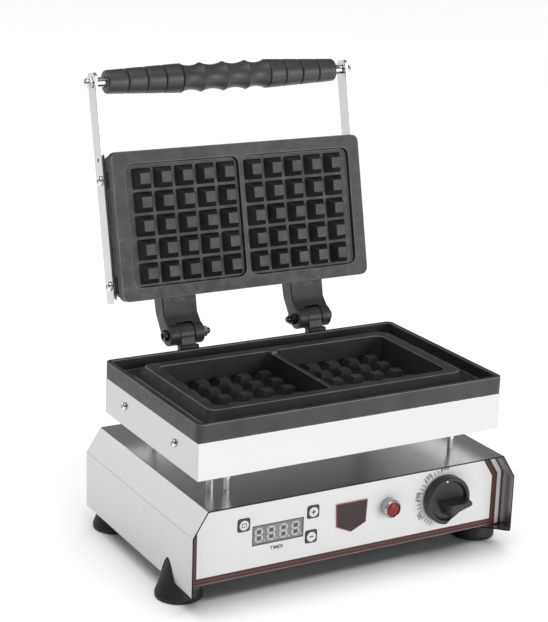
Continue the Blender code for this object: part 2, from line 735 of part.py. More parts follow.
def make_wiring():
    """Cable gland and terminal block; the sensing bulb, its capillary and the sleeve it rises through."""
    x, z = 0.105, 0.052
    flange, inner_end, outer_end = 0.004 + 2 * GAP, 2 * GAP - 0.009, 2 * GAP + 0.0105
    gland = [
        (0.0068, outer_end),
        (0.0088, flange),
        (0.0105, flange),
        (0.0105, GAP),
        (0.0079, GAP),
        (0.0079, inner_end),
        (0.0040, inner_end),
        (0.0040, outer_end),
    ]
    location, facing_back = (x, BACK_PANEL_Y + SHEET, z), (-math.radians(90), 0, 0)
    turned("cable_gland", gland, HOUSING, location, facing_back, ring=True, steps=16)
    floor = TRAY_Z + 0.001 + GAP
    terminal = block(
        "terminal_block",
        (0.060, depth(0.148), floor),
        (0.116, depth(0.166), floor + 0.015),
        CERAMIC,
    )
    for i in range(4):
        slot = block(
            f"terminal_slot_{i}",
            (0.0665 + 0.0135 * i, depth(0.146), floor + 0.009),
            (0.0675 + 0.0135 * i, depth(0.168), floor + 0.016),
            None,
        )
        boolean(terminal, slot)
    cx, cy = CONDUIT_PLACE
    sleeve = [
        (CONDUIT_RADIUS, SKIRT_BOTTOM_Z + 0.006),
        (CONDUIT_RADIUS, BASE_TOP_Z - 0.005),
        (0.0021, BASE_TOP_Z - 0.005),
        (0.0021, SKIRT_BOTTOM_Z + 0.006),
    ]
    turned("wiring_conduit", sleeve, GALVANISED, (cx, cy, 0), ring=True, steps=16)
    bulb_z = 0.1232
    run = [
        (-0.1165, depth(0.112), bulb_z),
        (-0.1165, depth(0.111), bulb_z),
        (-0.1165, depth(0.065), bulb_z),
        (-0.1165, depth(0.064), bulb_z),
        (-0.1175, depth(0.056), bulb_z),
        (-0.1215, depth(0.036), bulb_z),
        (-0.1236, depth(0.0285), bulb_z - 0.0015),
        (cx, cy, bulb_z - 0.006),
        (cx, cy, 0.082),
        (cx + 0.0015, cy + 0.001, 0.0785),
        (cx + 0.006, cy + 0.003, 0.077),
        (-0.040, depth(0.030), 0.076),
        (0.050, depth(0.030), 0.076),
        (0.0745, depth(0.0335), 0.0745),
        (0.0775, depth(0.0405), 0.068),
        (0.0765, depth(0.0425), 0.063),
        (0.0785, depth(0.0450), 0.0575),
        (0.0860, depth(0.0450), 0.0550),
        (0.0955, depth(0.0440), 0.0545),
        (0.0955, depth(0.0355), 0.0545),
    ]
    wire = 0.0011
    bulb = 0.003 / wire
    radii = [1.0, bulb, bulb, 1.0] + [1.0] * (len(run) - 4)
    tube("sensor_capillary", run, wire, HEATER, radii=radii)


def make_posts():
    low, middle, high = BASE_TOP_Z + GAP, 0.1015, SKIRT_BOTTOM_Z - GAP
    profile = [
        (0.0, high + 0.006),
        (POST_STUD_RADIUS, high + 0.006),
        (POST_STUD_RADIUS, high),
        (POST_RADIUS + 0.0003, high),
        (POST_RADIUS + 0.0003, middle),
        (POST_RADIUS - 0.0004, middle),
        (POST_RADIUS - 0.0004, low),
        (POST_STUD_RADIUS, low),
        (POST_STUD_RADIUS, low - 0.007),
        (0.0, low - 0.007),
    ]
    for name, (x, y) in POSTS.items():
        turned(name, profile, FASTENER, (x, y, 0), steps=14)


# ---------------------------------------------------------------------------------------------
# Lower plate and skirt
# ---------------------------------------------------------------------------------------------
def make_skirt():
    low = (-SKIRT_HALF_WIDTH, SKIRT_FRONT_Y, SKIRT_BOTTOM_Z)
    high = (SKIRT_HALF_WIDTH, SKIRT_BACK_Y, PLATE_BOTTOM_Z - GAP)
    skirt = open_box("lower_skirt", low, high, 1, SKIRT_SHEET, STEEL)
    spots = [(*spot, POST_STUD_RADIUS + 0.0004) for spot in POSTS.values()]
    spots.append((*CONDUIT_PLACE, CONDUIT_RADIUS + 0.0004))
    for i, (x, y, radius) in enumerate(spots):
        ends = (x, y, SKIRT_BOTTOM_Z - 0.004), (x, y, SKIRT_BOTTOM_Z + 0.004)
        boolean(skirt, cylinder(f"skirt_hole_{i}", radius, *ends, None, segments=16))
    for side, sign in (("left", -1), ("right", 1)):
        for end, distance in zip(("front", "back"), SKIRT_SCREW_DEPTHS):
            x, y = sign * SKIRT_HALF_WIDTH, depth(distance)
            ends = (x - 0.004, y, SKIRT_SCREW_Z), (x + 0.004, y, SKIRT_SCREW_Z)
            boolean(skirt, cylinder(f"skirt_bore_{end}_{side}", 0.0022, *ends, None, segments=16))
            machine_screw(
                f"skirt_screw_{end}_{side}",
                (0.0036, 0.0026),
                (0.0018, 0.008),
                (x + sign * GAP, y, SKIRT_SCREW_Z),
                (0, sign * math.radians(90), 0),
            )


def cavity_rect(sign, inner, outer, front, back):
    low, high = sorted((sign * inner, sign * outer))
    return (low, high, depth(front), depth(back))


def peg_field(name, base_z, tip_z, parent=None):
    """The pegs of both cavities, each rooted a little way into the floor it stands on."""
    bm = bmesh.new()
    root = math.copysign(0.001, base_z - tip_z)
    grow = 0.001 * (PEG_BASE - PEG_TIP) / 2 / abs(base_z - tip_z)
    for sign in (-1, 1):
        for column in range(PEGS_ACROSS):
            for row in range(PEGS_ACROSS):
                x = sign * (PEG_COLUMN_X + PEG_PITCH * column)
                y = depth(PEG_ROW + PEG_PITCH * row)
                base, tip = PEG_BASE / 2 + grow, PEG_TIP / 2
                rects = [(x - h, x + h, y - h, y + h) for h in (base, tip)]
                if base_z > tip_z:
                    add_frustum(bm, rects[1], rects[0], tip_z, base_z + root)
                else:
                    add_frustum(bm, rects[0], rects[1], base_z + root, tip_z)
    return from_bmesh(name, bm, None, parent)


def make_lower_plate():
    front, back = depth(0), depth(PLATE_DEPTH)
    casting = block(
        "lower_plate",
        (-PLATE_HALF_WIDTH, front, PLATE_BOTTOM_Z),
        (PLATE_HALF_WIDTH, back, PLATE_TOP_Z),
        CASTING,
        corner=PLATE_CORNER,
    )
    draft = 0.0008
    wide = PLATE_HALF_WIDTH - RIM_WALL
    narrow = wide - draft
    gutter = frustum(
        "gutter",
        (-narrow, narrow, front + RIM_WALL + draft, back - RIM_WALL - draft),
        (-wide, wide, front + RIM_WALL, back - RIM_WALL),
        GUTTER_FLOOR_Z,
        PLATE_TOP_Z + 0.001,
        None,
        corner=0.004,
    )
    boolean(casting, gutter)
    lip = frustum(
        "lip",
        (-0.1320, 0.1320, depth(0.0200), depth(0.1640)),
        (-0.1250, 0.1250, depth(0.0270), depth(0.1570)),
        GUTTER_FLOOR_Z - 0.001,
        PLATE_TOP_Z,
        None,
        corner=0.008,
    )
    boolean(casting, lip, "UNION")
    tub = frustum(
        "tub",
        (-0.1200, 0.1200, depth(0.0320), depth(0.1510)),
        (-0.1220, 0.1220, depth(0.0300), depth(0.1530)),
        CAVITY_FLOOR_Z - 0.006,
        PLATE_BOTTOM_Z + 0.001,
        None,
        corner=0.008,
    )
    boolean(casting, tub, "UNION")
    for sign in (-1, 1):
        cavity = frustum(
            f"cavity_{'left' if sign < 0 else 'right'}",
            cavity_rect(sign, CAVITY_INNER_X + 0.0018, 0.1105, CAVITY_FRONT + 0.0022, CAVITY_BACK - 0.0022),
            cavity_rect(sign, CAVITY_INNER_X, CAVITY_OUTER_X, CAVITY_FRONT, CAVITY_BACK),
            CAVITY_FLOOR_Z,
            PLATE_TOP_Z + 0.0002,
            None,
            corner=CAVITY_CORNER,
        )
        boolean(casting, cavity)
    divider = block(
        "divider_top",
        (-0.0035, depth(CAVITY_FRONT + 0.004), PLATE_TOP_Z - 0.002),
        (0.0035, depth(CAVITY_BACK - 0.004), PLATE_TOP_Z + 0.002),
        None,
    )
    boolean(casting, divider)
    pegs = peg_field("lower_pegs", CAVITY_FLOOR_Z, CAVITY_FLOOR_Z + PEG_HEIGHT)
    boolean(casting, pegs, "UNION")
    add_screw_bosses(casting)
    add_lug_screw_bores(casting)


def add_screw_bosses(casting):
    """Blocks under the gutter that the skirt's screws go into."""
    for sign in (-1, 1):
        for end, distance in zip(("front", "back"), SKIRT_SCREW_DEPTHS):
            y = depth(distance)
            name = f"{end}_{'left' if sign < 0 else 'right'}"
            inner, outer = sorted((sign * 0.1370, sign * (SKIRT_HALF_WIDTH - SKIRT_SHEET - GAP)))
            boss = block(
                f"boss_{name}", (inner, y - 0.007, 0.1235), (outer, y + 0.007, PLATE_BOTTOM_Z + 0.001), None
            )
            boolean(casting, boss, "UNION")
            ends = (sign * 0.1385, y, SKIRT_SCREW_Z), (sign * 0.149, y, SKIRT_SCREW_Z)
            boolean(casting, cylinder(f"boss_bore_{name}", 0.0021, *ends, None, segments=16))


def make_lower_heater():
    """Tubular element folded under both cavities, with its cold ends turned down at the back."""
    z = CAVITY_FLOOR_Z - 0.006 - 0.0047
    points = heater_path(z, runs=6, first=0.0455, pitch=0.0185, tail=0.012, rise=-0.0035)
    tube("lower_heater", points, HEATER_RADIUS, HEATER)


def heater_path(z, runs, first, pitch, tail, rise):
    """Long runs joined by half-round bends, in plan, with a turned tail at either end."""
    reach, bend = 0.082, pitch / 2
    last = first + pitch * (runs - 1)
    start, stop = (
        [(-reach - tail, depth(y), z + rise), (-reach - 0.006, depth(y), z)] for y in (first, last)
    )
    points = start
    for run in range(runs):
        side = 1 if run % 2 == 0 else -1
        y = first + pitch * run
        points += [(-side * reach, depth(y), z), (side * reach, depth(y), z)]
        if run < runs - 1:
            for turn in map(math.radians, (30, 60, 90, 120, 150)):
                x = side * (reach + bend * math.sin(turn))
                points.append((x, depth(y + bend * (1 - math.cos(turn))), z))
    return points + stop[::-1]


# ---------------------------------------------------------------------------------------------
# Hinges
# ---------------------------------------------------------------------------------------------
HINGE_SIDES = (("left", -1), ("right", 1))
LUG_SCREW_Z = 0.1470


def add_lug_screw_bores(casting):
    for side, sign in HINGE_SIDES:
        x = sign * HINGE_X
        ends = (x, depth(PLATE_DEPTH - 0.012), LUG_SCREW_Z), (x, depth(PLATE_DEPTH + 0.002), LUG_SCREW_Z)
        boolean(casting, cylinder(f"lug_bore_{side}", 0.0019, *ends, None, segments=16))


def make_lugs():
    """Cast lugs bolted to the back of the lower plate, each with the hinge bolt's eye at its top."""
    face = depth(PLATE_DEPTH) + GAP
    eye = (HINGE_Y, HINGE_Z)
    outline = [(face, 0.1385), (face + 0.0075, 0.1385), (face + 0.0085, 0.1600)]
    outline += arc(eye, EAR_RADIUS - 0.0005, -35, 190, 12)
    outline += [(face, 0.1650)]
    width = 2 * LUG_HALF_WIDTH
    for side, sign in HINGE_SIDES:
        x = sign * HINGE_X
        lug = side_plate(f"hinge_lug_{side}", [outline, circle(eye, BOLT_RADIUS + 0.0004, 20)], width,
                         CAST_FITTING, x)
        lug = as_mesh(lug)
        toe = block(
            f"lug_toe_{side}",
            (x - 0.0095, depth(0.1782), PLATE_TOP_Z + GAP),
            (x + 0.0095, face + 0.0022, PLATE_TOP_Z + 0.0034),
            None,
            corner=0.002,
        )
        boolean(lug, toe, "UNION")
        ends = (x, face - 0.002, LUG_SCREW_Z), (x, face + 0.012, LUG_SCREW_Z)
        boolean(lug, cylinder(f"lug_clearance_{side}", 0.0021, *ends, None, segments=16))
        machine_screw(
            f"lug_screw_{side}",
            (0.0038, 0.0026),
            (0.0016, 0.019),
            (x, face + 0.0086, LUG_SCREW_Z),
            (-math.radians(90), 0, 0),
        )


def make_brackets(lid):
    """Cast brackets on the back of the lid, each forked round a lug."""
    eye = (HINGE_Y, HINGE_Z)
    wall = depth(LID_RIM_BACK - LID_BODY_INSET) + GAP
    back = LID_BACK_Z + GAP
    outline = [
        (wall - 0.0200, back),
        (wall, back),
        (wall, LID_FACE_Z + LID_RIM_THICKNESS + 0.0030),
        (depth(0.1745), LID_FACE_Z + LID_RIM_THICKNESS + 0.0030),
    ]
    outline += arc(eye, EAR_RADIUS, 200, 420, 14)
    outline += [(depth(0.1735), 0.1905), (depth(0.1600), 0.1915), (wall - 0.0200, 0.1915)]
    for side, sign in HINGE_SIDES:
        x = sign * HINGE_X
        bracket = side_plate(f"hinge_bracket_{side}", [outline, circle(eye, BOLT_RADIUS + GAP, 20)],
                             2 * EAR_OUTER, CAST_FITTING, x, lid)
        bracket = as_mesh(bracket)
        fork = cylinder(
            f"fork_{side}",
            EAR_RADIUS + 0.0012,
            (x - EAR_INNER, HINGE_Y, HINGE_Z),
            (x + EAR_INNER, HINGE_Y, HINGE_Z),
            None,
            lid,
            segments=24,
        )
        boolean(bracket, fork)
        make_hinge_bolt(side, x, sign, lid)


def make_hinge_bolt(side, x, sign, lid):
    """Bolt with its head on the outer ear and its nut on the inner one."""
    reach = EAR_OUTER + GAP
    profile = domed_head(0.0052, 0.0034)
    profile += [(BOLT_RADIUS, 0.0), (BOLT_RADIUS, -2 * reach - 0.0078)]
    profile += [(BOLT_RADIUS - 0.0009, -2 * reach - 0.0088), (0.0, -2 * reach - 0.0088)]
    turn = (0, sign * math.radians(90), 0)
    head = (x + sign * reach, HINGE_Y, HINGE_Z)
    turned(f"hinge_bolt_{side}", profile, CAST_FITTING, head, turn, lid, steps=18)
    nut = [circle((0, 0), 0.0056, 6), circle((0, 0), BOLT_RADIUS + GAP, 18)]
    thickness = 0.005
    middle = (x - sign * (reach + thickness / 2), HINGE_Y, HINGE_Z)
    plate(f"hinge_nut_{side}", nut, thickness, FASTENER, middle, (0, math.radians(90), 0), lid)


# ---------------------------------------------------------------------------------------------
# Lid
# ---------------------------------------------------------------------------------------------
def make_upper_plate(lid):
    rim_back = LID_FACE_Z + LID_RIM_THICKNESS
    casting = block(
        "upper_plate",
        (-LID_RIM_HALF_WIDTH, depth(LID_RIM_FRONT), LID_FACE_Z),
        (LID_RIM_HALF_WIDTH, depth(LID_RIM_BACK), rim_back),
        CASTING,
        lid,
        corner=0.007,
    )
    half = LID_RIM_HALF_WIDTH - LID_BODY_INSET
    body_rect = (-half, half, depth(LID_RIM_FRONT + LID_BODY_INSET), depth(LID_RIM_BACK - LID_BODY_INSET))
    body = frustum("lid_body", body_rect, body_rect, rim_back - 0.001, LID_BACK_Z, None, lid, corner=0.006)
    boolean(casting, body, "UNION")
    edge = 0.0008
    floor = LID_FACE_Z + LID_RECESS
    for sign in (-1, 1):
        recess = frustum(
            f"recess_{'left' if sign < 0 else 'right'}",
            cavity_rect(sign, CAVITY_INNER_X, CAVITY_OUTER_X, CAVITY_FRONT, CAVITY_BACK),
            cavity_rect(sign, CAVITY_INNER_X + edge, CAVITY_OUTER_X - edge, CAVITY_FRONT + edge,
                        CAVITY_BACK - edge),
            LID_FACE_Z - 0.0002,
            floor,
            None,
            lid,
            corner=CAVITY_CORNER,
        )
        boolean(casting, recess)
    boolean(casting, peg_field("upper_pegs", floor, floor - LID_PEG_HEIGHT, lid), "UNION")
    for sign in (-1, 1):
        for end, distance in zip(("low", "high"), ARM_SCREW_DEPTHS):
            name = f"{end}_{'left' if sign < 0 else 'right'}"
            y = depth(distance)
            inner, outer = sorted((sign * (half - 0.002), sign * (ARM_INNER_X - GAP)))
            boss = block(f"arm_boss_{name}", (inner, y - 0.007, 0.1715), (outer, y + 0.007, LID_BACK_Z),
                         None, lid)
            boolean(casting, boss, "UNION")
            ends = (sign * 0.1130, y, ARM_Z - 0.002), (sign * 0.1290, y, ARM_Z - 0.002)
            boolean(casting, cylinder(f"arm_bore_{name}", 0.0024, *ends, None, lid, segments=16))


def make_cover(lid):
    inset = LID_BODY_INSET + COVER_INSET
    half = LID_RIM_HALF_WIDTH - inset
    low = (-half, depth(LID_RIM_FRONT + inset), LID_BACK_Z + GAP)
    high = (half, depth(LID_RIM_BACK - inset - 0.0165), COVER_TOP_Z)
    open_box("upper_cover", low, high, -1, 0.001, STEEL, lid, corner=0.004)


def make_upper_heater(lid):
    """An element like the lower one, two runs shorter, lying on the back of the lid."""
    z = LID_BACK_Z + 0.0045
    points = heater_path(z, runs=4, first=0.0500, pitch=0.0205, tail=0.014, rise=0.004)
    tube("upper_heater", points, HEATER_RADIUS, HEATER, lid)


def make_arms(lid):
    """Flat bars up the sides of the lid, screwed to its casting, with the handle between their ends."""
    end = depth(HANDLE_DEPTH) - 0.0085
    low, high = ARM_Z - ARM_HALF_WIDTH, ARM_Z + ARM_HALF_WIDTH
    outline = [
        (depth(ARM_BACK), low),
        (depth(ARM_BACK), high),
        (end + 0.003, high),
        (end, high - 0.003),
        (end, low + 0.003),
        (end + 0.003, low),
    ]
    holes = [circle((depth(d), ARM_Z - 0.002), 0.0027, 16) for d in ARM_SCREW_DEPTHS]
    holes.append(circle((depth(ARM_SPARE_HOLE), ARM_Z), 0.0018, 12))
    holes.append(circle((depth(HANDLE_DEPTH), HANDLE_Z), ROD_STUD_RADIUS + GAP, 16))
    outer_face = ARM_INNER_X + ARM_THICKNESS
    for side, sign in HINGE_SIDES:
        middle = sign * (ARM_INNER_X + ARM_THICKNESS / 2)
        side_plate(f"handle_arm_{side}", [outline] + holes, ARM_THICKNESS, STEEL, middle, lid)
        turn = (0, sign * math.radians(90), 0)
        for place_name, distance in zip(("low", "high"), ARM_SCREW_DEPTHS):
            spot = (sign * (outer_face + GAP), depth(distance), ARM_Z - 0.002)
            machine_screw(f"arm_screw_{place_name}_{side}", (0.0046, 0.0032), (0.0021, 0.014), spot, turn,
                          parent=lid)
        nut = [(0.0, 0.0070), (0.0022, 0.0064), (0.0036, 0.0046), (0.0052, 0.0040), (0.0056, 0.0),
               (ROD_STUD_RADIUS + GAP, 0.0), (ROD_STUD_RADIUS + GAP, 0.0040), (0.0, 0.0045)]
        spot = (sign * (outer_face + GAP), depth(HANDLE_DEPTH), HANDLE_Z)
        turned(f"handle_nut_{side}", nut, FASTENER, spot, turn, lid, steps=18)


def make_handle(lid):
    """Rod between the arms, and the grip that can turn on it."""
    stud = ARM_INNER_X + ARM_THICKNESS + GAP + 0.0036
    shoulder = ARM_INNER_X - GAP
    axis = (0, depth(HANDLE_DEPTH), HANDLE_Z)
    turn = (0, math.radians(90), 0)
    half = [(0.0, stud), (ROD_STUD_RADIUS, stud), (ROD_STUD_RADIUS, shoulder), (ROD_RADIUS, shoulder)]
    rod = half + [(radius, -height) for radius, height in reversed(half)]
    turned("handle_rod", rod, FASTENER, axis, turn, lid, steps=18)
    outer = grip_outline()
    bore = ROD_RADIUS + 0.0004
    grip = outer + [(bore, -GRIP_HALF_LENGTH), (bore, GRIP_HALF_LENGTH)]
    turned("handle_grip", grip, BAKELITE, axis, turn, lid, ring=True, steps=16)


def grip_outline():
    """Half the grip's outline, mirrored: rings at the ends, and shallow scallops between ridges."""
    chamfer, groove = 0.0015, 0.0016
    half = [(GRIP_END_RADIUS - chamfer, GRIP_HALF_LENGTH), (GRIP_END_RADIUS, GRIP_HALF_LENGTH - chamfer)]
    for place_x in GRIP_GROOVES:
        share = (GRIP_HALF_LENGTH - place_x) / (GRIP_HALF_LENGTH - GRIP_RIDGES[0])
        radius = GRIP_END_RADIUS + (GRIP_RADIUS - GRIP_END_RADIUS) * share
        half += [(radius, place_x + groove), (radius - groove, place_x), (radius, place_x - groove)]
    for ridge, following in zip(GRIP_RIDGES, GRIP_RIDGES[1:]):
        half.append((GRIP_RADIUS, ridge))
        for share in (0.3, 0.7):
            dip = GRIP_SCALLOP * math.sin(math.pi * share)
            half.append((GRIP_RADIUS - dip, ridge + (following - ridge) * share))
    return half + [(GRIP_RADIUS, 0.0)] + [(radius, -x) for radius, x in reversed(half)]


def main():
    make_base_shell()
    make_tray()
    make_feet()
    make_panels()
    make_badge()
    make_timer()
    make_lamp()
    make_thermostat()
    make_wiring()
    make_posts()
    make_skirt()
    make_lower_plate()
    make_lower_heater()
    make_lugs()
    lid = empty("lid_hinge", (0, HINGE_Y, HINGE_Z))
    make_brackets(lid)
    make_upper_plate(lid)
    make_cover(lid)
    make_upper_heater(lid)
    make_arms(lid)
    make_handle(lid)
    lid.rotation_euler = (-OPEN_ANGLE, 0, 0)


main()
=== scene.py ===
"""Looks of the double waffle maker: detailed pieces, finishes, studio and camera around the CAD frame.

Metres, +Z up, front towards -Y, the same frame as the CAD. Pieces of the lid are built as if it were
shut, where its faces are level, and are then swung up to the rest pose by LID_UP.
"""

import json
import math

import bmesh
import bpy
from mathutils import Matrix, Vector


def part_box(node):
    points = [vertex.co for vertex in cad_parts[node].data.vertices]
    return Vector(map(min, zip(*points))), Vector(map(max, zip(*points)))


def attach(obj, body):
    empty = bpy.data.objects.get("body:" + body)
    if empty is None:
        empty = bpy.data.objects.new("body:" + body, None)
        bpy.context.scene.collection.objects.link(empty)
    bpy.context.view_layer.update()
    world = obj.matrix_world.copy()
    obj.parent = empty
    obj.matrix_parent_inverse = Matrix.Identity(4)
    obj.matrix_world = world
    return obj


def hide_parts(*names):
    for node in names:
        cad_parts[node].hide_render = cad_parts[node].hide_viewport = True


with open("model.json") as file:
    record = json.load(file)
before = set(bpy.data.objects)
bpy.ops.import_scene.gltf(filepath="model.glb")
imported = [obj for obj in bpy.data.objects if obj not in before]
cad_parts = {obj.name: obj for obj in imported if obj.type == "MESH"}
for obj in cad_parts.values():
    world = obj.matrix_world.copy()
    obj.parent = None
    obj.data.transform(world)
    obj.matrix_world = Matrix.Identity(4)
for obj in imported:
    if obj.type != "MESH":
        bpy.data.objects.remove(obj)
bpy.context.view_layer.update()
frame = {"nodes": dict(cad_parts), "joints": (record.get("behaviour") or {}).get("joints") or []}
NODES = frame["nodes"]
JOINTS = {joint["name"]: joint for joint in frame["joints"]}

# ---------------------------------------------------------------------------------------------
# Places, read from the frame
# ---------------------------------------------------------------------------------------------
HINGE = Vector(JOINTS["lid_hinge"]["pos_m"])
OPEN_ANGLE = math.radians(max(JOINTS["lid_hinge"]["range_deg"]))
LID_UP = Matrix.Translation(HINGE) @ Matrix.Rotation(-OPEN_ANGLE, 4, "X") @ Matrix.Translation(-HINGE)
LEVEL = Matrix.Identity(4)
SIDES = (("left", -1), ("right", 1))
CLEARANCE = 0.0003  # between pieces that touch in the real machine


def box_of(node, turned_by=LEVEL):
    """Lowest and highest corner of a CAD node, seen in the frame that this matrix turns from."""
    back = turned_by.inverted()
    points = [back @ vert.co for vert in NODES[node].data.vertices]
    low = Vector(min(point[axis] for point in points) for axis in range(3))
    high = Vector(max(point[axis] for point in points) for axis in range(3))
    return low, high


def middle_of(node):
    low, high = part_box(node)
    return (low + high) / 2


PLATE_LOW, PLATE_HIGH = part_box("lower_plate")
SHELL_LOW, SHELL_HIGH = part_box("base_shell")
SKIRT_LOW, SKIRT_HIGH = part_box("lower_skirt")
LABEL_LOW, LABEL_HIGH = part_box("panel_label")
LID_LOW, LID_HIGH = box_of("upper_plate", LID_UP)
FRONT = PLATE_LOW.y  # front face of the lower casting
LABEL_FACE = LABEL_LOW.y


def depth(distance):
    """Y of a place this far behind the front face of the lower casting."""
    return FRONT + distance


# ---------------------------------------------------------------------------------------------
# Finishes
# ---------------------------------------------------------------------------------------------
class Finish:
    """A Principled material with noise for its colour, roughness and relief, in object coordinates."""

    def __init__(self, name, colour, roughness, metallic=0.0, **sockets):
        self.material = bpy.data.materials.new(name)
        self.material.use_nodes = True
        self.tree = self.material.node_tree
        self.shader = self.tree.nodes["Principled BSDF"]
        self.colour = colour
        self.shader.inputs["Base Color"].default_value = (*colour, 1.0)
        self.shader.inputs["Roughness"].default_value = roughness
        self.shader.inputs["Metallic"].default_value = metallic
        for socket, value in sockets.items():
            label = socket.replace("_", " ").title().replace("Ior", "IOR")
            self.shader.inputs[label].default_value = value
        self.place = self.tree.nodes.new("ShaderNodeTexCoord").outputs["Object"]
        self.last_bump = None

    def noise(self, scale, detail=3.0, roughness=0.55):
        """Noise from 0 to 1. A scale of three numbers stretches it, as a brushed grain is."""
        place = self.place
        if isinstance(scale, tuple):
            mapping = self.tree.nodes.new("ShaderNodeMapping")
            mapping.inputs["Scale"].default_value = scale
            self.tree.links.new(place, mapping.inputs["Vector"])
            place, scale = mapping.outputs["Vector"], 1.0
        node = self.tree.nodes.new("ShaderNodeTexNoise")
        node.inputs["Scale"].default_value = scale
        node.inputs["Detail"].default_value = detail
        node.inputs["Roughness"].default_value = roughness
        self.tree.links.new(place, node.inputs["Vector"])
        return node.outputs["Fac"]

    def ranged(self, value, low, high, start=0.3, end=0.7):
        node = self.tree.nodes.new("ShaderNodeMapRange")
        for socket, number in zip(("From Min", "From Max", "To Min", "To Max"), (start, end, low, high)):
            node.inputs[socket].default_value = number
        self.tree.links.new(value, node.inputs["Value"])
        return node.outputs["Result"]

    def mottled(self, amount, scale, second=None):
        """Colour that drifts darker and lighter by this share, or towards a second colour."""
        mix = self.tree.nodes.new("ShaderNodeMix")
        mix.data_type = "RGBA"
        light = second or tuple(min(1.0, c * (1 + amount)) for c in self.colour)
        mix.inputs[6].default_value = (*(c * (1 - amount) for c in self.colour), 1.0)
        mix.inputs[7].default_value = (*light, 1.0)
        self.tree.links.new(self.ranged(self.noise(scale), 0.0, 1.0), mix.inputs[0])
        self.tree.links.new(mix.outputs[2], self.shader.inputs["Base Color"])
        return self

    def worn(self, low, high, scale):
        """Roughness that drifts between two values."""
        self.tree.links.new(self.ranged(self.noise(scale), low, high), self.shader.inputs["Roughness"])
        return self

    def relief(self, scale, distance, strength=1.0, detail=3.0):
        """Fine relief of this depth, laid over any relief asked for before."""
        bump = self.tree.nodes.new("ShaderNodeBump")
        bump.inputs["Strength"].default_value = strength
        bump.inputs["Distance"].default_value = distance
        self.tree.links.new(self.noise(scale, detail), bump.inputs["Height"])
        if self.last_bump:
            self.tree.links.new(self.last_bump, bump.inputs["Normal"])
        self.last_bump = bump.outputs["Normal"]
        self.tree.links.new(self.last_bump, self.shader.inputs["Normal"])
        return self


def brushed(name, grain, colour=(0.74, 0.74, 0.735), roughness=(0.21, 0.27)):
    """Brushed sheet. grain names the axes across which the lines are fine."""
    fine, long = 2600.0, 14.0
    scale = tuple(fine if axis in grain else long for axis in "xyz")
    finish = Finish(name, colour, sum(roughness) / 2, 1.0)
    finish.worn(*roughness, scale).relief(scale, 0.000002, 0.2)
    return finish.mottled(0.008, tuple(s * 0.5 for s in scale)).material


def cast_iron(name, colour, roughness, specular=0.55):
    finish = Finish(name, colour, roughness, 0.0, specular_ior_level=specular)
    finish.mottled(0.30, 60.0).worn(roughness - 0.09, roughness + 0.08, 120.0)
    return finish.relief(420.0, 0.00022, 0.6).relief(2200.0, 0.00004, 0.5).material


def moulding(name, colour, roughness, grit=0.00003, mottle=0.10, **sockets):
    finish = Finish(name, colour, roughness, 0.0, **sockets)
    finish.mottled(mottle, 55.0).worn(max(0.02, roughness - 0.06), roughness + 0.06, 90.0)
    return finish.relief(1900.0, grit, 0.5).material


def polished(name, colour, roughness):
    finish = Finish(name, colour, roughness, 1.0).mottled(0.04, 120.0)
    return finish.worn(roughness * 0.7, roughness * 1.5, 300.0).relief(900.0, 0.00001, 0.3).material


CAST = cast_iron("cast_plate", (0.039, 0.039, 0.041), 0.48)
# Painted highlight: a lighter cast iron on the rounded edges of both castings.
EDGE_HIGHLIGHT = cast_iron("painted_edge_highlight", (0.150, 0.150, 0.152), 0.42)
# Painted shade: a near-black cast iron for the steep faces of the cavities and pegs.
FLANK_SHADE = cast_iron("painted_flank_shade", (0.022, 0.022, 0.023), 0.58, 0.40)
CAST_FITTING = cast_iron("cast_fitting", (0.032, 0.032, 0.034), 0.46)
SHELL_STEEL = brushed("brushed_shell", "y")
# Painted shade: a darker copy of the shell's steel for its sides.
SHELL_SIDE_SHADE = brushed("brushed_shell_painted_shade", "y", (0.58, 0.58, 0.575), (0.26, 0.32))
SKIRT_STEEL = brushed("brushed_skirt", "z", (0.76, 0.76, 0.755))
# Painted shade: a darker copy of the skirt's steel for its sides.
SKIRT_SIDE_SHADE = brushed("brushed_skirt_painted_shade", "z", (0.56, 0.56, 0.555))
ARM_STEEL = brushed("brushed_arm", "xz", (0.62, 0.62, 0.615), (0.16, 0.24))
# Painted shade: a darker steel for the sheet's inside faces and the front panel.
SHADED_SHEET = brushed("painted_shade_sheet", "y", (0.36, 0.36, 0.36), (0.24, 0.32))
# Painted shade: a near-black steel for cut edges and seams.
EDGE_SHADE = brushed("painted_shade_edge", "x", (0.016, 0.016, 0.016), (0.40, 0.50))
COVER_STEEL = brushed("brushed_cover", "yz")
PANEL_STEEL = brushed("brushed_panel", "z")
FASTENER = polished("fastener_steel", (0.74, 0.74, 0.75), 0.17)
CHROME = polished("bezel_chrome", (0.46, 0.46, 0.47), 0.10)
GALVANISED = Finish("galvanised_sheet", (0.52, 0.54, 0.55), 0.42, 0.9).mottled(0.22, 85.0)
GALVANISED = GALVANISED.worn(0.3, 0.55, 60.0).relief(400.0, 0.00002, 0.4).material
RUBBER = moulding("foot_rubber", (0.012, 0.012, 0.013), 0.62, 0.00005)
GRIP = moulding("grip_plastic", (0.058, 0.058, 0.060), 0.40, 0.00005)
KNOB = moulding("knob_plastic", (0.019, 0.020, 0.021), 0.38, 0.00003)
LABEL = moulding("label_film", (0.83, 0.83, 0.835), 0.34, 0.00001, 0.008)
BADGE = moulding("badge_enamel", (0.024, 0.012, 0.011), 0.36, 0.00001)
BADGE_RIM = moulding("badge_rim_red", (0.34, 0.060, 0.050), 0.40, 0.00001)
PRINT_DARK = moulding("print_maroon", (0.050, 0.014, 0.013), 0.45, 0.00001)
PRINT_RED = moulding("print_red", (0.135, 0.036, 0.034), 0.45, 0.00001)
PRINT_BLACK = moulding("print_black", (0.030, 0.030, 0.032), 0.45, 0.00001)
PRINT_WHITE = moulding("print_white", (0.80, 0.80, 0.80), 0.45, 0.00001)
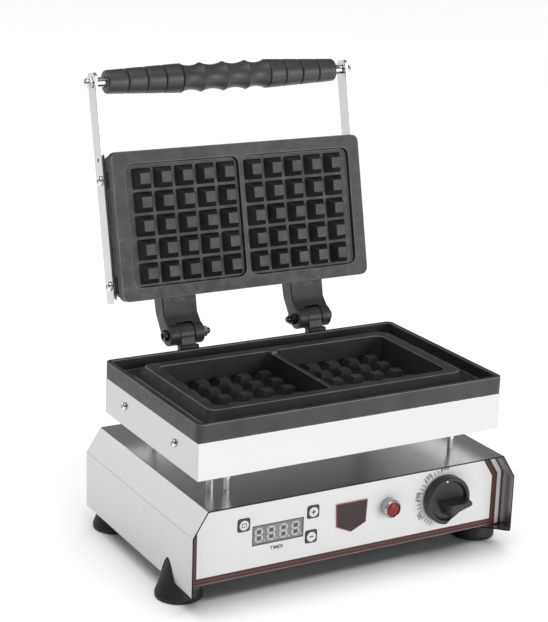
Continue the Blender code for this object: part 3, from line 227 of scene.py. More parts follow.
DISPLAY = moulding("display_face", (0.25, 0.25, 0.252), 0.26, 0.00001)
DISPLAY_RIM = moulding("display_rim", (0.085, 0.085, 0.087), 0.35, 0.00001)
SEGMENT = moulding("display_segment", (0.56, 0.56, 0.56), 0.35, 0.00001)
KEY = moulding("key_plastic", (0.045, 0.045, 0.047), 0.40, 0.00002)
LENS = moulding("lamp_lens", (0.27, 0.005, 0.004), 0.24, 0.00001,
                specular_ior_level=0.35, coat_weight=0.12)
BOARD = moulding("circuit_board", (0.03, 0.15, 0.07), 0.45)
HOUSING = moulding("black_housing", (0.030, 0.030, 0.031), 0.48, 0.00004)
CERAMIC = moulding("terminal_ceramic", (0.80, 0.78, 0.72), 0.32)
HEATER = Finish("heater_sheath", (0.24, 0.225, 0.215), 0.5, 0.8).mottled(0.25, 70.0, (0.33, 0.28, 0.24))
HEATER = HEATER.worn(0.42, 0.6, 200.0).relief(1500.0, 0.00002, 0.5).material
POST_STEEL = polished("post_steel", (0.86, 0.86, 0.86), 0.34)
BLACKENED = polished("blackened_steel", (0.075, 0.075, 0.078), 0.30)


# ---------------------------------------------------------------------------------------------
# Building pieces
# ---------------------------------------------------------------------------------------------
def link(name, mesh):
    obj = bpy.data.objects.new(name, mesh)
    bpy.context.scene.collection.objects.link(obj)
    return obj


def from_bmesh(name, bm, *materials):
    mesh = bpy.data.meshes.new(name)
    bmesh.ops.recalc_face_normals(bm, faces=bm.faces)
    bm.to_mesh(mesh)
    bm.free()
    for material in materials:
        mesh.materials.append(material)
    return link(name, mesh)


def evaluated_mesh(obj):
    """The mesh that an object has with its modifiers applied."""
    bpy.context.view_layer.update()
    graph = bpy.context.evaluated_depsgraph_get()
    return bpy.data.meshes.new_from_object(obj.evaluated_get(graph))


def settle(obj, crease=40.0):
    """Applies the modifiers, and shades what is round smooth."""
    mesh = evaluated_mesh(obj)
    obj.modifiers.clear()
    obj.data = mesh
    mesh.shade_smooth()
    mesh.set_sharp_from_angle(angle=math.radians(crease))
    return obj


MERGE = 2e-6  # corners this near each other are one corner


def boolean(target, cutter, operation="DIFFERENCE"):
    """Cuts or joins at once, and removes the other object."""
    modifier = target.modifiers.new("shape", "BOOLEAN")
    modifier.operation = operation
    modifier.solver = "EXACT"
    modifier.object = cutter
    settle(target)
    bpy.data.objects.remove(cutter)
    bm = bmesh.new()
    bm.from_mesh(target.data)
    bmesh.ops.remove_doubles(bm, verts=bm.verts, dist=MERGE)
    bmesh.ops.dissolve_degenerate(bm, edges=bm.edges, dist=MERGE)
    bm.to_mesh(target.data)
    bm.free()
    return target


def soften(obj, width, segments=3, angle=28.0, crease=50.0, highlight_material=None):
    """Rounds the edges, in a material of their own if one is given, which paints a highlight on the rounded
    faces.
    """
    bevel = obj.modifiers.new("edges", "BEVEL")
    bevel.width = width
    bevel.segments = segments
    bevel.limit_method = "ANGLE"
    bevel.angle_limit = math.radians(angle)
    bevel.use_clamp_overlap = highlight_material is None
    bevel.miter_outer = "MITER_ARC"
    if highlight_material:
        obj.data.materials.append(highlight_material)
        bevel.material = len(obj.data.materials) - 1
    return settle(obj, crease)


def arc(centre, radius, first, last, count):
    """Points from one angle to another, in degrees."""
    angles = [math.radians(first + (last - first) * i / count) for i in range(count + 1)]
    return [(centre[0] + radius * math.cos(a), centre[1] + radius * math.sin(a)) for a in angles]


def circle(centre, radius, count=48):
    return arc(centre, radius, 0, 360 * (count - 1) / count, count - 1)


def round_rect(x0, x1, y0, y1, corner, count=7):
    """A rectangle with rounded corners, anticlockwise."""
    points = []
    for cx, cy, first in ((x1, y1, 0), (x0, y1, 90), (x0, y0, 180), (x1, y0, 270)):
        inward = (math.cos(math.radians(first + 45)), math.sin(math.radians(first + 45)))
        centre = (cx - math.copysign(corner, inward[0]), cy - math.copysign(corner, inward[1]))
        points += arc(centre, corner, first, first + 90, count) if corner else [(cx, cy)]
    return points


def rectangle(x0, x1, y0, y1):
    return [(x0, y0), (x1, y0), (x1, y1), (x0, y1)]


def cross_outline(arm, size, x=0.0, y=0.0):
    """A plus sign of this half width and this reach, anticlockwise."""
    points = [(arm, arm), (arm, size), (-arm, size)]
    while len(points) < 12:
        px, py = points[-3]
        points.append((-py, px))
    return [(x + px, y + py) for px, py in points]


def bridge(bm, rings):
    """A closed body through rings of the same number of points, each a list of (x, y, z)."""
    made = [[bm.verts.new(point) for point in ring] for ring in rings]
    for lower, upper in zip(made, made[1:]):
        for i in range(len(lower)):
            j = (i + 1) % len(lower)
            bm.faces.new((lower[i], lower[j], upper[j], upper[i]))
    bm.faces.new(made[0])
    bm.faces.new(made[-1])


def stack(rings, name, *materials):
    bm = bmesh.new()
    bridge(bm, rings)
    return from_bmesh(name, bm, *materials)


def tapered(name, low, high, z_low, z_high, corner, *materials):
    """A block between two rounded rectangles (x0, x1, y0, y1)."""
    rings = [
        [(x, y, z) for x, y in round_rect(*rect, corner)] for rect, z in ((low, z_low), (high, z_high))
    ]
    return stack(rings, name, *materials)


def block(name, low, high, *materials, corner=0.0):
    rect = (low[0], high[0], low[1], high[1])
    return tapered(name, rect, rect, low[2], high[2], corner, *materials)


def turned(name, profile, material, place=LEVEL, steps=72, ring=False, crease=32.0):
    """A profile of (radius, height) turned about Z and then put in place."""
    bm = bmesh.new()
    rings = []
    for radius, height in profile:
        count = steps if radius > 1e-7 else 1
        turns = [math.tau * i / count for i in range(count)]
        rings.append([bm.verts.new((radius * math.cos(t), radius * math.sin(t), height)) for t in turns])
    pairs = list(zip(rings, rings[1:])) + ([(rings[-1], rings[0])] if ring else [])
    for first, second in pairs:
        for i in range(steps):
            j = i + 1
            corners = (first[i % len(first)], first[j % len(first)],
                       second[j % len(second)], second[i % len(second)])
            corners = list(dict.fromkeys(corners))
            if len(corners) > 2:
                bm.faces.new(corners)
    obj = settle(from_bmesh(name, bm, material), crease)
    obj.matrix_world = place
    return obj


def rounded(points, radius, count=4):
    """An open path with each inner corner rounded, as far as its neighbours leave room."""
    path = [Vector(points[0])]
    for before, corner, after in zip(points, points[1:], points[2:]):
        corner, before, after = Vector(corner), Vector(before), Vector(after)
        inward, outward = (before - corner), (after - corner)
        reach = min(inward.length, outward.length) * 0.45
        half = inward.angle(outward, math.pi) / 2
        if half > math.radians(86):
            path.append(corner)
            continue
        tangent = min(reach, radius / math.tan(half))
        start, end = corner + inward.normalized() * tangent, corner + outward.normalized() * tangent
        for i in range(count + 1):
            t = i / count
            path.append((1 - t) ** 2 * start + 2 * t * (1 - t) * corner + t**2 * end)
    return [tuple(point) for point in path + [Vector(points[-1])]]


def drawn_mesh(name, curve, merge=1e-6):
    """The filled shape of a curve or text, with doubled corners merged."""
    drawn = link(name, curve)
    mesh = evaluated_mesh(drawn)
    bpy.data.objects.remove(drawn)
    bm = bmesh.new()
    bm.from_mesh(mesh)
    bmesh.ops.remove_doubles(bm, verts=bm.verts, dist=merge)
    return bm


def plate(name, outlines, thickness, material, place, edge=0.0003):
    """A flat piece with rounded edges from its outline, the first, and its holes, about local z = 0."""
    curve = bpy.data.curves.new(name, "CURVE")
    curve.dimensions = "2D"
    curve.fill_mode = "BOTH"
    curve.extrude = thickness / 2 - edge
    curve.bevel_depth = edge
    curve.offset = -edge
    curve.bevel_resolution = 2
    for outline in outlines:
        spline = curve.splines.new("POLY")
        spline.points.add(len(outline) - 1)
        for point, (x, y) in zip(spline.points, outline):
            point.co = (x, y, 0, 1)
        spline.use_cyclic_u = True
    obj = settle(from_bmesh(name, drawn_mesh(name, curve), material), 50.0)
    obj.matrix_world = place
    return obj


def join(name, objects):
    """One mesh object from several, in the frame of the first, keeping each one's material."""
    home = objects[0].matrix_world.copy()
    bm = bmesh.new()
    materials = []
    for obj in objects:
        bpy.context.view_layer.update()
        part = bmesh.new()
        part.from_mesh(obj.data)
        part.transform(home.inverted() @ obj.matrix_world)
        for face in part.faces:
            own = obj.data.materials[face.material_index]
            if own not in materials:
                materials.append(own)
            face.material_index = materials.index(own)
        mesh = bpy.data.meshes.new("part")
        part.to_mesh(mesh)
        part.free()
        bm.from_mesh(mesh)
        bpy.data.meshes.remove(mesh)
        bpy.data.objects.remove(obj)
    mesh = bpy.data.meshes.new(name)
    bm.to_mesh(mesh)
    bm.free()
    for material in materials:
        mesh.materials.append(material)
    made = link(name, mesh)
    made.matrix_world = home
    return made


def stand_for(obj, body, slot, *nodes):
    """The piece rides on a body and is shown in place of CAD nodes; slot is not used."""
    flats = obj.modifiers.new("level_flats", "WEIGHTED_NORMAL")
    flats.keep_sharp = True
    flats.weight = 80
    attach(obj, body)
    if nodes:
        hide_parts(*nodes)
    return obj


def facing_front(x, y, z):
    """Local x stays X, local y becomes Z, and local +z looks out of the front."""
    return Matrix.Translation((x, y, z)) @ Matrix.Rotation(math.radians(90), 4, "X")


def facing_back(x, y, z):
    return Matrix.Translation((x, y, z)) @ Matrix.Rotation(-math.radians(90), 4, "X")


def facing_side(sign, x, y, z):
    """Local +z looks out to the side that sign says."""
    return Matrix.Translation((x, y, z)) @ Matrix.Rotation(sign * math.radians(90), 4, "Y")


def drawn_along(x):
    """Local x becomes Y, local y becomes Z: for outlines drawn in (y, z)."""
    turn = Matrix.Rotation(math.radians(90), 4, "Z") @ Matrix.Rotation(math.radians(90), 4, "X")
    return Matrix.Translation((x, 0, 0)) @ turn


def drawn_across(y):
    """Local x stays X, local y becomes Z: for outlines drawn in (x, z)."""
    return Matrix.Translation((0, y, 0)) @ Matrix.Rotation(math.radians(90), 4, "X")


def span(sign, inner, outer):
    """The ends, lowest first, of this stretch of X on the side that sign says."""
    return sorted((sign * inner, sign * outer))


def on_base(obj, slot, *nodes, body="base"):
    return stand_for(obj, body, slot, *nodes)


def on_lid(obj, slot, *nodes, body="lid"):
    """For a piece built where it is when the lid is shut."""
    obj.matrix_world = LID_UP @ obj.matrix_world
    return stand_for(obj, body, slot, *nodes)


# ---------------------------------------------------------------------------------------------
# Fasteners
# ---------------------------------------------------------------------------------------------
def dome(radius, height, steps=10):
    """A low domed head's outline with a short rim, from its crown down."""
    rim = height * 0.22
    crown = [(radius * math.sin(a), rim + (height - rim) * math.cos(a))
             for a in (i / steps * math.pi / 2 for i in range(steps))]
    return crown + [(radius, rim), (radius, 0.0)]


def prism(name, outline, z_low, z_high, material=None):
    rings = [[(x, y, z) for x, y in outline] for z in (z_low, z_high)]
    return stack(rings, name, *([material] if material else []))


def drive_cut(kind, size, z_low, z_high):
    """Cutter for the recess in a screw's head."""
    if kind == "hex":
        return prism("drive", circle((0, 0), size, 6), z_low, z_high)
    return prism("drive", cross_outline(size * 0.24, size), z_low, z_high)


def screw(name, head, shank, place, material, kind="cross"):
    """A domed screw that sits on local z = 0. Head and shank are each a radius and a length."""
    profile = dome(*head) + [(shank[0], 0.0), (shank[0], -shank[1]), (0.0, -shank[1])]
    obj = turned(name, profile, material)
    cutter = drive_cut(kind, head[0] * 0.46, head[1] * 0.35, head[1] + 0.001)
    boolean(obj, cutter)
    obj.matrix_world = place
    return obj


def hex_nut(name, radius, bore, thickness, material, place):
    """A chamfered hexagon nut about local z = 0."""
    half = thickness / 2
    nut = prism(name, circle((0, 0), radius, 6), -half, half, material)
    flat = radius * math.cos(math.radians(30))
    clear, chamfer = 1e-5, radius * 0.12
    cone = [(0.0, half + clear), (flat * 0.97, half + clear), (radius * 1.02, half - chamfer),
            (radius * 1.02, -half + chamfer), (flat * 0.97, -half - clear), (0.0, -half - clear)]
    boolean(nut, turned("chamfer", cone, material), "INTERSECT")
    hole = [(0.0, half + 0.001), (bore, half + 0.001), (bore, -half - 0.001), (0.0, -half - 0.001)]
    boolean(nut, turned("bore", hole, material))
    nut.matrix_world = place
    return nut


# ---------------------------------------------------------------------------------------------
# Base
# ---------------------------------------------------------------------------------------------
SHEET = 0.0012
SHOULDER_Z = 0.0695
TOP_HALF_WIDTH = 0.1465
FLANGE = 0.020
BEND = 0.0022
MITRE = 0.03  # reach of the 45 degree cut between the flanges
SLOPE = math.atan2(SHELL_HIGH.z - SHOULDER_Z, SHELL_HIGH.x - TOP_HALF_WIDTH)


def shell_path(inset, bottom, top):
    """Half the section of the shell at this distance inside its outer face, from its top edge down."""
    side = SHELL_HIGH.x - inset
    shoulder = SHOULDER_Z - inset * math.tan((math.pi / 2 - SLOPE) / 2)
    lean = (top - shoulder) / math.tan(SLOPE)
    return [(side - lean, top), (side, shoulder), (side, bottom)]


def mirrored(half):
    return half + [(-x, z) for x, z in reversed(half)]


def make_housing():
    outer = shell_path(0.0, SHELL_LOW.z, SHELL_HIGH.z) + [(SHELL_HIGH.x - FLANGE, SHELL_LOW.z)]
    path = [(-x, z) for x, z in reversed(outer)] + outer
    bm = bmesh.new()
    front = [bm.verts.new((x, SHELL_LOW.y, z)) for x, z in rounded(path, BEND, 6)]
    edges = [bm.edges.new(pair) for pair in zip(front, front[1:])]
    made = bmesh.ops.extrude_edge_only(bm, edges=edges)["geom"]
    far = [item for item in made if isinstance(item, bmesh.types.BMVert)]
    bmesh.ops.translate(bm, verts=far, vec=(0, SHELL_HIGH.y - SHELL_LOW.y, 0))
    shell = from_bmesh("housing_sheet", bm, SHELL_STEEL)
    top = max(shell.data.polygons, key=lambda face: face.center.z)
    solidify = shell.modifiers.new("thickness", "SOLIDIFY")
    solidify.thickness = SHEET
    solidify.use_even_offset = True
    solidify.offset = -1.0 if top.normal.z > 0 else 1.0
    settle(shell)
    cone = [(0.0, 0.036), (FOOT_TOP + 0.0007, 0.036), (FOOT_RADIUS + 0.0010, FOOT_BAND),
            (FOOT_RADIUS + 0.0010, 0.002), (0.0, 0.002)]
    for name in FEET:
        place = Matrix.Translation((*middle_of(name).xy, 0))
        boolean(shell, turned("notch", cone, SHELL_STEEL, place))
    for sign in (-1, 1):
        for end, y in ((-1, SHELL_LOW.y), (1, SHELL_HIGH.y)):
            x = sign * (SHELL_HIGH.x - SHEET)
            inner, outside = x - sign * MITRE, y + end * 0.01
            corner = [(x, y), (inner, y - end * MITRE), (inner, outside), (x, outside)]
            boolean(shell, prism("mitre", corner, SHELL_LOW.z - 0.002, SHELL_LOW.z + 0.003))
    for x, y, radius in POST_HOLES:
        boolean(shell, prism("hole", circle((x, y), radius), SHELL_HIGH.z - 0.005, SHELL_HIGH.z + 0.005))
    soften(shell, 0.00028, 2, 35, 40)
    # Darker steels that paint shade on the sheet's inside faces, cut edges and sides.
    for material in (SHADED_SHEET, EDGE_SHADE, SHELL_SIDE_SHADE):
        shell.data.materials.append(material)
    for face in shell.data.polygons:
        outwards = face.center - Vector((0.0, face.center.y, 0.05))
        # Painted shade: faces looking mostly along Y, chiefly the sheet's cut edges, take a near-black
        # steel.
        if abs(face.normal.y) > 0.5:
            face.material_index = 2
        # Painted shade: faces looking inwards take a darker steel.
        elif face.normal.dot(outwards) < 0:
            face.material_index = 1
        # Painted shade: faces looking to the sides take a darker copy of the top's steel.
        elif abs(face.normal.x) > 0.3:
            face.material_index = 3
    on_base(shell, "brushed_steel", "base_shell")


FOOT_RADIUS = 0.0203
FOOT_TOP = 0.0095
FOOT_BAND = 0.004
FOOT_RECESS, FOOT_RECESS_TOP, FOOT_BORE = 0.0085, 0.0035, 0.0019
FEET = [f"foot_{end}_{side}" for end in ("front", "back") for side in ("left", "right")]
POSTS = [f"post_{end}_{side}" for end in ("front", "back") for side in ("left", "right")]
POST_HOLES = []
for post in [*POSTS, "wiring_conduit"]:
    hole_radius = 0.0038 if post == "wiring_conduit" else 0.0024
    POST_HOLES.append((*middle_of(post).xy, hole_radius))


def make_feet():
    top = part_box(FEET[0])[1].z
    outer = rounded([(FOOT_TOP, top), (FOOT_RADIUS - 0.0004, FOOT_BAND + 0.0006), (FOOT_RADIUS, FOOT_BAND),
                     (FOOT_RADIUS, 0.001), (FOOT_RADIUS - 0.001, 0.0), (0.009, 0.0)], 0.0012)
    profile = outer + [(FOOT_RECESS, FOOT_RECESS_TOP), (FOOT_BORE, FOOT_RECESS_TOP), (FOOT_BORE, top)]
    for name in FEET:
        place = Matrix.Translation((*middle_of(name).xy, 0))
        on_base(turned(f"rubber_{name}", profile, RUBBER, place, ring=True), "foot_rubber", name)


def make_posts():
    low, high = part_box(POSTS[0])
    pin, core, edge, collar = 0.0020, 0.0022, 0.0029, 0.0032
    foot, waist, head = SHELL_HIGH.z + CLEARANCE, 0.1015, SKIRT_LOW.z - CLEARANCE
    profile = [(0.0, high.z), (pin, high.z), (pin, head), (edge, head), (collar, head - 0.0004),
               (collar, waist + 0.0004), (edge, waist)]
    ridges = 10
    for i in range(ridges):
        z = waist - 0.0004 - (waist - foot - 0.0006) * i / ridges
        profile += [(core, z), (core + 0.0003, z - 0.0004)]
    profile += [(core, foot), (pin, foot), (pin, low.z), (0.0, low.z)]
    for name, (x, y, _) in zip(POSTS, POST_HOLES):
        made = turned(f"stand_{name}", profile, POST_STEEL, Matrix.Translation((x, y, 0)), 48)
        on_base(made, "fastener_steel", name)
    low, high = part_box("wiring_conduit")
    x, y, _ = POST_HOLES[-1]
    sleeve = [(0.0034, high.z), (0.0034, low.z), (0.0021, low.z), (0.0021, high.z)]
    made = turned("wiring_sleeve", sleeve, GALVANISED, Matrix.Translation((x, y, 0)), 48, ring=True)
    on_base(made, "galvanised_sheet", "wiring_conduit")


# Control panel -------------------------------------------------------------------------------
PRINT = 0.00005  # thickness of the ink
DISPLAY_LOW, DISPLAY_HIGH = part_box("display_window")
KNOB_X, KNOB_Z = middle_of("thermostat_shaft").xz
LAMP_X, LAMP_Z = middle_of("indicator_bezel").xz
LABEL_MARGIN = SHEET + 0.0012  # from the outer face of the shell to the label's edge
BORDER_INSET = 0.0040  # from the label's edge to its border
LABEL_GAP = 0.0004  # round what stands in the label's windows
LAMP_HOLE, SHAFT_HOLE, KEY_CORNER = 0.0066, 0.0052, 0.0022
FIGURE_RADIUS = 0.0275  # of the ring of numbers round the knob
KEY_MARKS = {"key_set": "screen", "key_plus": "plus", "key_minus": "minus"}


def printed(name, outlines, ink, behind=LABEL_FACE, rise=PRINT):
    """Ink on a face that looks to the front, drawn in (x, z)."""
    return plate(name, outlines, rise, ink, drawn_across(behind - rise / 2), edge=rise / 8)


def border_band(name, inner, outer, ink):
    """A band of the label's border, up the sides and along the bottom, between two distances in."""
    top, bottom = LABEL_HIGH.z - 0.0003, LABEL_LOW.z
    margin = LABEL_MARGIN + BORDER_INSET
    far = mirrored(shell_path(margin + outer, bottom + outer, top))
    near = mirrored(shell_path(margin + inner, bottom + inner, top))
    return printed(name, [near + far[::-1]], ink)


def make_label():
    low, high, gap = DISPLAY_LOW, DISPLAY_HIGH, LABEL_GAP
    outlines = [mirrored(shell_path(LABEL_MARGIN, LABEL_LOW.z, LABEL_HIGH.z)),
                rectangle(low.x - gap, high.x + gap, low.z - gap, high.z + gap),
                circle((LAMP_X, LAMP_Z), LAMP_HOLE), circle((KNOB_X, KNOB_Z), SHAFT_HOLE)]
    for key in KEY_MARKS:
        low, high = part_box(key)
        outlines.append(round_rect(low.x - gap, high.x + gap, low.z - gap, high.z + gap, KEY_CORNER))
    thickness = LABEL_HIGH.y - LABEL_LOW.y
    place = drawn_across(LABEL_FACE + thickness / 2)
    label = plate("label_sheet", outlines, thickness, LABEL, place, 0.00008)
    on_base(label, "label_film", "panel_label")
    for shade, ink, bands in (("dark", PRINT_DARK, ((0.0012, 0.0028), (0.0042, 0.0060))),
                              ("red", PRINT_RED, ((0.0001, 0.0012), (0.0028, 0.0042)))):
        strips = [border_band("band", *band, ink) for band in bands]
        on_base(join(f"label_border_{shade}", strips), "label_film")


def digit_strokes(x, z, width, height, stroke, gap=0.0003):
    """The seven bars of one figure, with pointed ends."""
    half, reach = stroke / 2, height / 2
    bars = []
    for level in (0, reach - half, -reach + half):
        left, right = x - width / 2 + half + gap, x + width / 2 - half - gap
        y = z + level
        bars.append([(left, y), (left + half, y + half), (right - half, y + half), (right, y),
                     (right - half, y - half), (left + half, y - half)])
    for side in (-1, 1):
        for low, high in ((-reach + half, 0), (0, reach - half)):
            cx, y0, y1 = x + side * (width / 2 - half), z + low + gap, z + high - gap
            bars.append([(cx, y0), (cx + half, y0 + half), (cx + half, y1 - half), (cx, y1),
                         (cx - half, y1 - half), (cx - half, y0 + half)])
    return bars


def make_display():
    x0, x1, z0, z1 = DISPLAY_LOW.x, DISPLAY_HIGH.x, DISPLAY_LOW.z, DISPLAY_HIGH.z
    face = block("display_block", DISPLAY_LOW, DISPLAY_HIGH, DISPLAY)
    soften(face, 0.0003, 2)
    on_base(face, "display_lens", "display_window")
    rim = 0.0009
    outlines = [round_rect(x0 + 0.0003, x1 - 0.0003, z0 + 0.0003, z1 - 0.0003, 0.0004, 3),
                round_rect(x0 + rim, x1 - rim, z0 + rim, z1 - rim, 0.0003, 3)[::-1]]
    on_base(printed("display_edge", outlines, DISPLAY_RIM, DISPLAY_LOW.y), "display_lens")
    pitch, width, height, stroke = 0.0117, 0.0078, 0.0128, 0.0017
    centre_x, centre_z = (x0 + x1) / 2, (z0 + z1) / 2
    bars, cells = [], []
    for i in range(4):
        x = centre_x + pitch * (i - 1.5) - 0.0006
        bars += digit_strokes(x, centre_z, width, height, stroke)
        bars.append(circle((x + width / 2 + 0.0014, centre_z - height / 2 + 0.0009), 0.0008, 20))
        inside = width / 2 - 0.0021
        for level in (-1, 1):
            z = centre_z + level * height / 4
            cells.append(rectangle(x - inside, x + inside, z - stroke, z + stroke))
    on_base(printed("display_figures", bars, SEGMENT, DISPLAY_LOW.y), "display_lens")
    on_base(printed("display_shade", cells, DISPLAY_RIM, DISPLAY_LOW.y, PRINT * 0.8), "display_lens")


def make_keys():
    bar, reach = 0.0006, 0.0019
    for name, mark in KEY_MARKS.items():
        low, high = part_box(name)
        x, z = middle_of(name).xz
        half, thickness = (high.x - low.x) / 2, high.y - low.y
        outline = round_rect(x - half, x + half, z - half, z + half, 0.002)
        place = drawn_across(low.y + thickness / 2)
        cap = plate(f"{name}_cap", [outline], thickness, KEY, place, edge=0.00035)
        on_base(cap, "key_plastic", name, body=name)
        if mark == "screen":
            sign = round_rect(x - 0.0022, x + 0.0022, z - 0.0018, z + 0.0018, 0.0004, 2)[::-1]
            inner = [round_rect(x - 0.0016, x + 0.0016, z - 0.0012, z + 0.0012, 0.0003, 2)]
            on_base(printed(f"{name}_screen", inner, PRINT_WHITE, low.y), "key_plastic", body=name)
        elif mark == "plus":
            sign = cross_outline(bar, reach, x, z)
        else:
            sign = rectangle(x - reach, x + reach, z - bar, z + bar)
        ring = [circle((x, z), 0.0043), sign]
        on_base(printed(f"{name}_ring", ring, PRINT_WHITE, low.y), "key_plastic", body=name)


def make_badge():
    low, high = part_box("badge_plate")
    half, top, shoulder, point = high.x, high.z, 0.0465, low.z

    def shield(inset):
        tilt = inset * 0.45
        waist = half - 0.001 - inset
        return [(-half + inset, top - inset), (half - inset, top - inset), (waist, shoulder + tilt),
                (0.0, point + inset * 1.05), (-waist, shoulder + tilt)]

    rim = plate("badge_rim", [shield(0.0)], 0.0005, BADGE_RIM, drawn_across(high.y - 0.00025), 0.0001)
    on_base(rim, "badge_enamel", "badge_plate")
    on_base(printed("badge_face", [shield(0.0008)], BADGE, high.y - 0.0005, 0.0001), "badge_enamel")


def make_lamp():
    place = facing_front(LAMP_X, LABEL_FACE, LAMP_Z)
    radius, proud = 0.0083, 0.0085
    mouth, bore, thread, tail = radius - 0.0014, 0.0048, 0.0062, -0.012
    bezel = [(radius - 0.0003, 0.0003), (radius, 0.0006), (radius, proud - 0.0008),
             (radius - 0.0006, proud), (radius - 0.0012, proud), (mouth, proud - 0.0003),
             (mouth, proud - 0.003), (bore, proud - 0.003), (bore, tail), (thread, tail), (thread, 0.0003)]
    on_base(turned("lamp_bezel", bezel, CHROME, place, 96, ring=True), "bezel_chrome", "indicator_bezel")
    lens_radius = radius - 0.0017
    dome_top = [(lens_radius * math.sin(a), proud - 0.0012 + 0.0016 * math.cos(a) + 0.00012 * (i % 2))
                for i, a in enumerate(0.1 * n for n in range(11))]
    lens = dome_top + [(lens_radius, proud - 0.0009), (lens_radius, proud - 0.0027), (0.0, proud - 0.0027)]
    on_base(turned("lamp_dome", lens, LENS, place, 12, crease=20), "lamp_lens", "indicator_lens")


def make_knob():
    """Round knob with a hollowed face, a wedge to turn it by and a flank cut away below the wedge."""
    place = facing_front(KNOB_X, LABEL_FACE, KNOB_Z)
    rim, face, reach = 0.022, 0.0099, 0.0213
    skirt = [(0.0, 0.0044), (rim - 0.0008, 0.0044), (rim, 0.0036), (rim, 0.0018),
             (rim - 0.0006, 0.0008), (0.0, 0.0008)]
    knob = turned("knob_body", skirt, KNOB, steps=96)
    chord = Vector((math.cos(math.radians(-49)), math.sin(math.radians(-49))))
    outline = [point for point in circle((0, 0), rim - 0.0001, 96) if chord.dot(Vector(point)) < 0.0165]
    upper = soften(prism("upper", outline, 0.0030, face, KNOB), 0.0011, 3)
    bowl = [(0.0, face + 0.001), (rim - 0.0034, face + 0.001), (rim - 0.0036, face - 0.0002),
            (rim - 0.0052, face - 0.0026), (0.0, face - 0.0028)]
    boolean(upper, turned("bowl", bowl, KNOB, steps=96))
    boolean(knob, upper, "UNION")
    low = [(-0.0120, 0.0015), (-0.0055, -0.0130), (0.0045, -0.0180), (0.0190, -0.0040), (0.0195, 0.0015)]
    high = [(-0.0055, 0.0006), (-0.0048, -0.0020), (0.0030, -0.0026), (0.0165, -0.0025), (0.0165, 0.0002)]
    bm = bmesh.new()
    corners = [bm.verts.new((x, y, z)) for ring, z in ((low, 0.0050), (high, reach)) for x, y in ring]
    bmesh.ops.convex_hull(bm, input=corners)
    wedge = soften(from_bmesh("wedge", bm, KNOB), 0.0005, 2)
    boolean(knob, wedge, "UNION")
    socket = [(0.0, 0.0068), (0.0033, 0.0068), (0.0033, -0.001), (0.0, -0.001)]
    boolean(knob, turned("socket", socket, KNOB, steps=48))
    knob.matrix_world = place
    on_base(knob, "knob_plastic", "thermostat_knob", body="knob")
    angle, reach = math.radians(101), 0.0192
    spot = (KNOB_X + reach * math.cos(angle), KNOB_Z + reach * math.sin(angle))
    mark = printed("knob_mark", [circle(spot, 0.0010, 24)], PRINT_WHITE, LABEL_FACE - face, 0.0001)
    on_base(mark, "knob_plastic", body="knob")


def make_dial():
    """Numbers and ticks printed round the knob, from its top round the left to its bottom."""
    first, last = 0.0238, 0.0278
    ticks = []
    for step in range(21):
        if step % 5 == 0:
            continue
        angle = math.radians(90 + 8 * step)
        along = Vector((math.cos(angle), math.sin(angle)))
        across = Vector((-math.sin(angle), math.cos(angle))) * 0.0003
        near, far = along * first, along * last
        corners = (near - across, near + across, far + across, far - across)
        ticks.append([(KNOB_X + c.x, KNOB_Z + c.y) for c in corners])
    on_base(printed("dial_ticks", ticks, PRINT_BLACK), "label_film")
    figures = []
    for number, angle in (("50", 210), ("100", 170), ("150", 130), ("200", 90)):
        turn = math.radians(angle)
        x, z = KNOB_X + FIGURE_RADIUS * math.cos(turn), KNOB_Z + FIGURE_RADIUS * math.sin(turn)
        figures.append(lettering("figure", number, 0.0058, x, z, math.radians(angle - 90)))
    on_base(join("dial_figures", figures), "label_film")
    x = DISPLAY_LOW.x * 0.52 + DISPLAY_HIGH.x * 0.48
    on_base(lettering("timer_word", "TIMER", 0.0046, x, DISPLAY_LOW.z - 0.0052), "label_film")


def lettering(name, words, size, x, z, turn=0.0):
    """Printed characters, centred on a place of the label."""
    text = bpy.data.curves.new(name, "FONT")
    text.body = words
    text.size = size
    text.align_x, text.align_y = "CENTER", "CENTER"
    text.extrude = PRINT / 2
    text.offset = size * 0.02
    text.resolution_u = 3
    made = from_bmesh(name, drawn_mesh(name, text, 1e-7), PRINT_BLACK)
    made.matrix_world = facing_front(x, LABEL_FACE - PRINT / 2, z) @ Matrix.Rotation(turn, 4, "Z")
    return made


def make_back():
    low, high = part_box("back_panel")
    x, z = middle_of("cable_gland").xz
    inset = SHEET + 0.0004
    outline = mirrored(shell_path(inset, low.z, high.z))
    sheet = plate("rear_sheet", [outline, circle((x, z), 0.0083)[::-1]], SHEET, PANEL_STEEL,
                  drawn_across((low.y + high.y) / 2), 0.0002)
    on_base(sheet, "brushed_steel", "back_panel")
    flange = 0.0105
    cap = [(0.0068, 0.0111), (0.0075, 0.0100), (0.0088, 0.0046), (flange, 0.0046), (flange, 0.0003),
           (0.0079, 0.0003), (0.0079, -0.0084), (0.0040, -0.0084), (0.0040, 0.0111)]
    gland = turned("gland_body", cap, HOUSING, ring=True)
    for i in range(6):
        grip = Matrix.Rotation(math.radians(60 * i), 4, "Z") @ Matrix.Translation((flange, 0, 0))
        cut = prism("cut", round_rect(-0.0006, 0.002, -0.0018, 0.0018, 0.0003, 2), 0.0001, 0.006)
        cut.matrix_world = grip
        boolean(gland, cut)
    gland.matrix_world = facing_back(x, high.y, z)
    on_base(gland, "black_housing", "cable_gland")


# Skirt and lower plate -------------------------------------------------------------------------
SKIRT_SCREW_Z = 0.130
SKIRT_SCREW = ((0.0036, 0.0026), (0.0018, 0.008))  # head and shank
BOSS_DEPTHS = (0.044, 0.141)
BOSS_HALF_WIDTH = 0.007


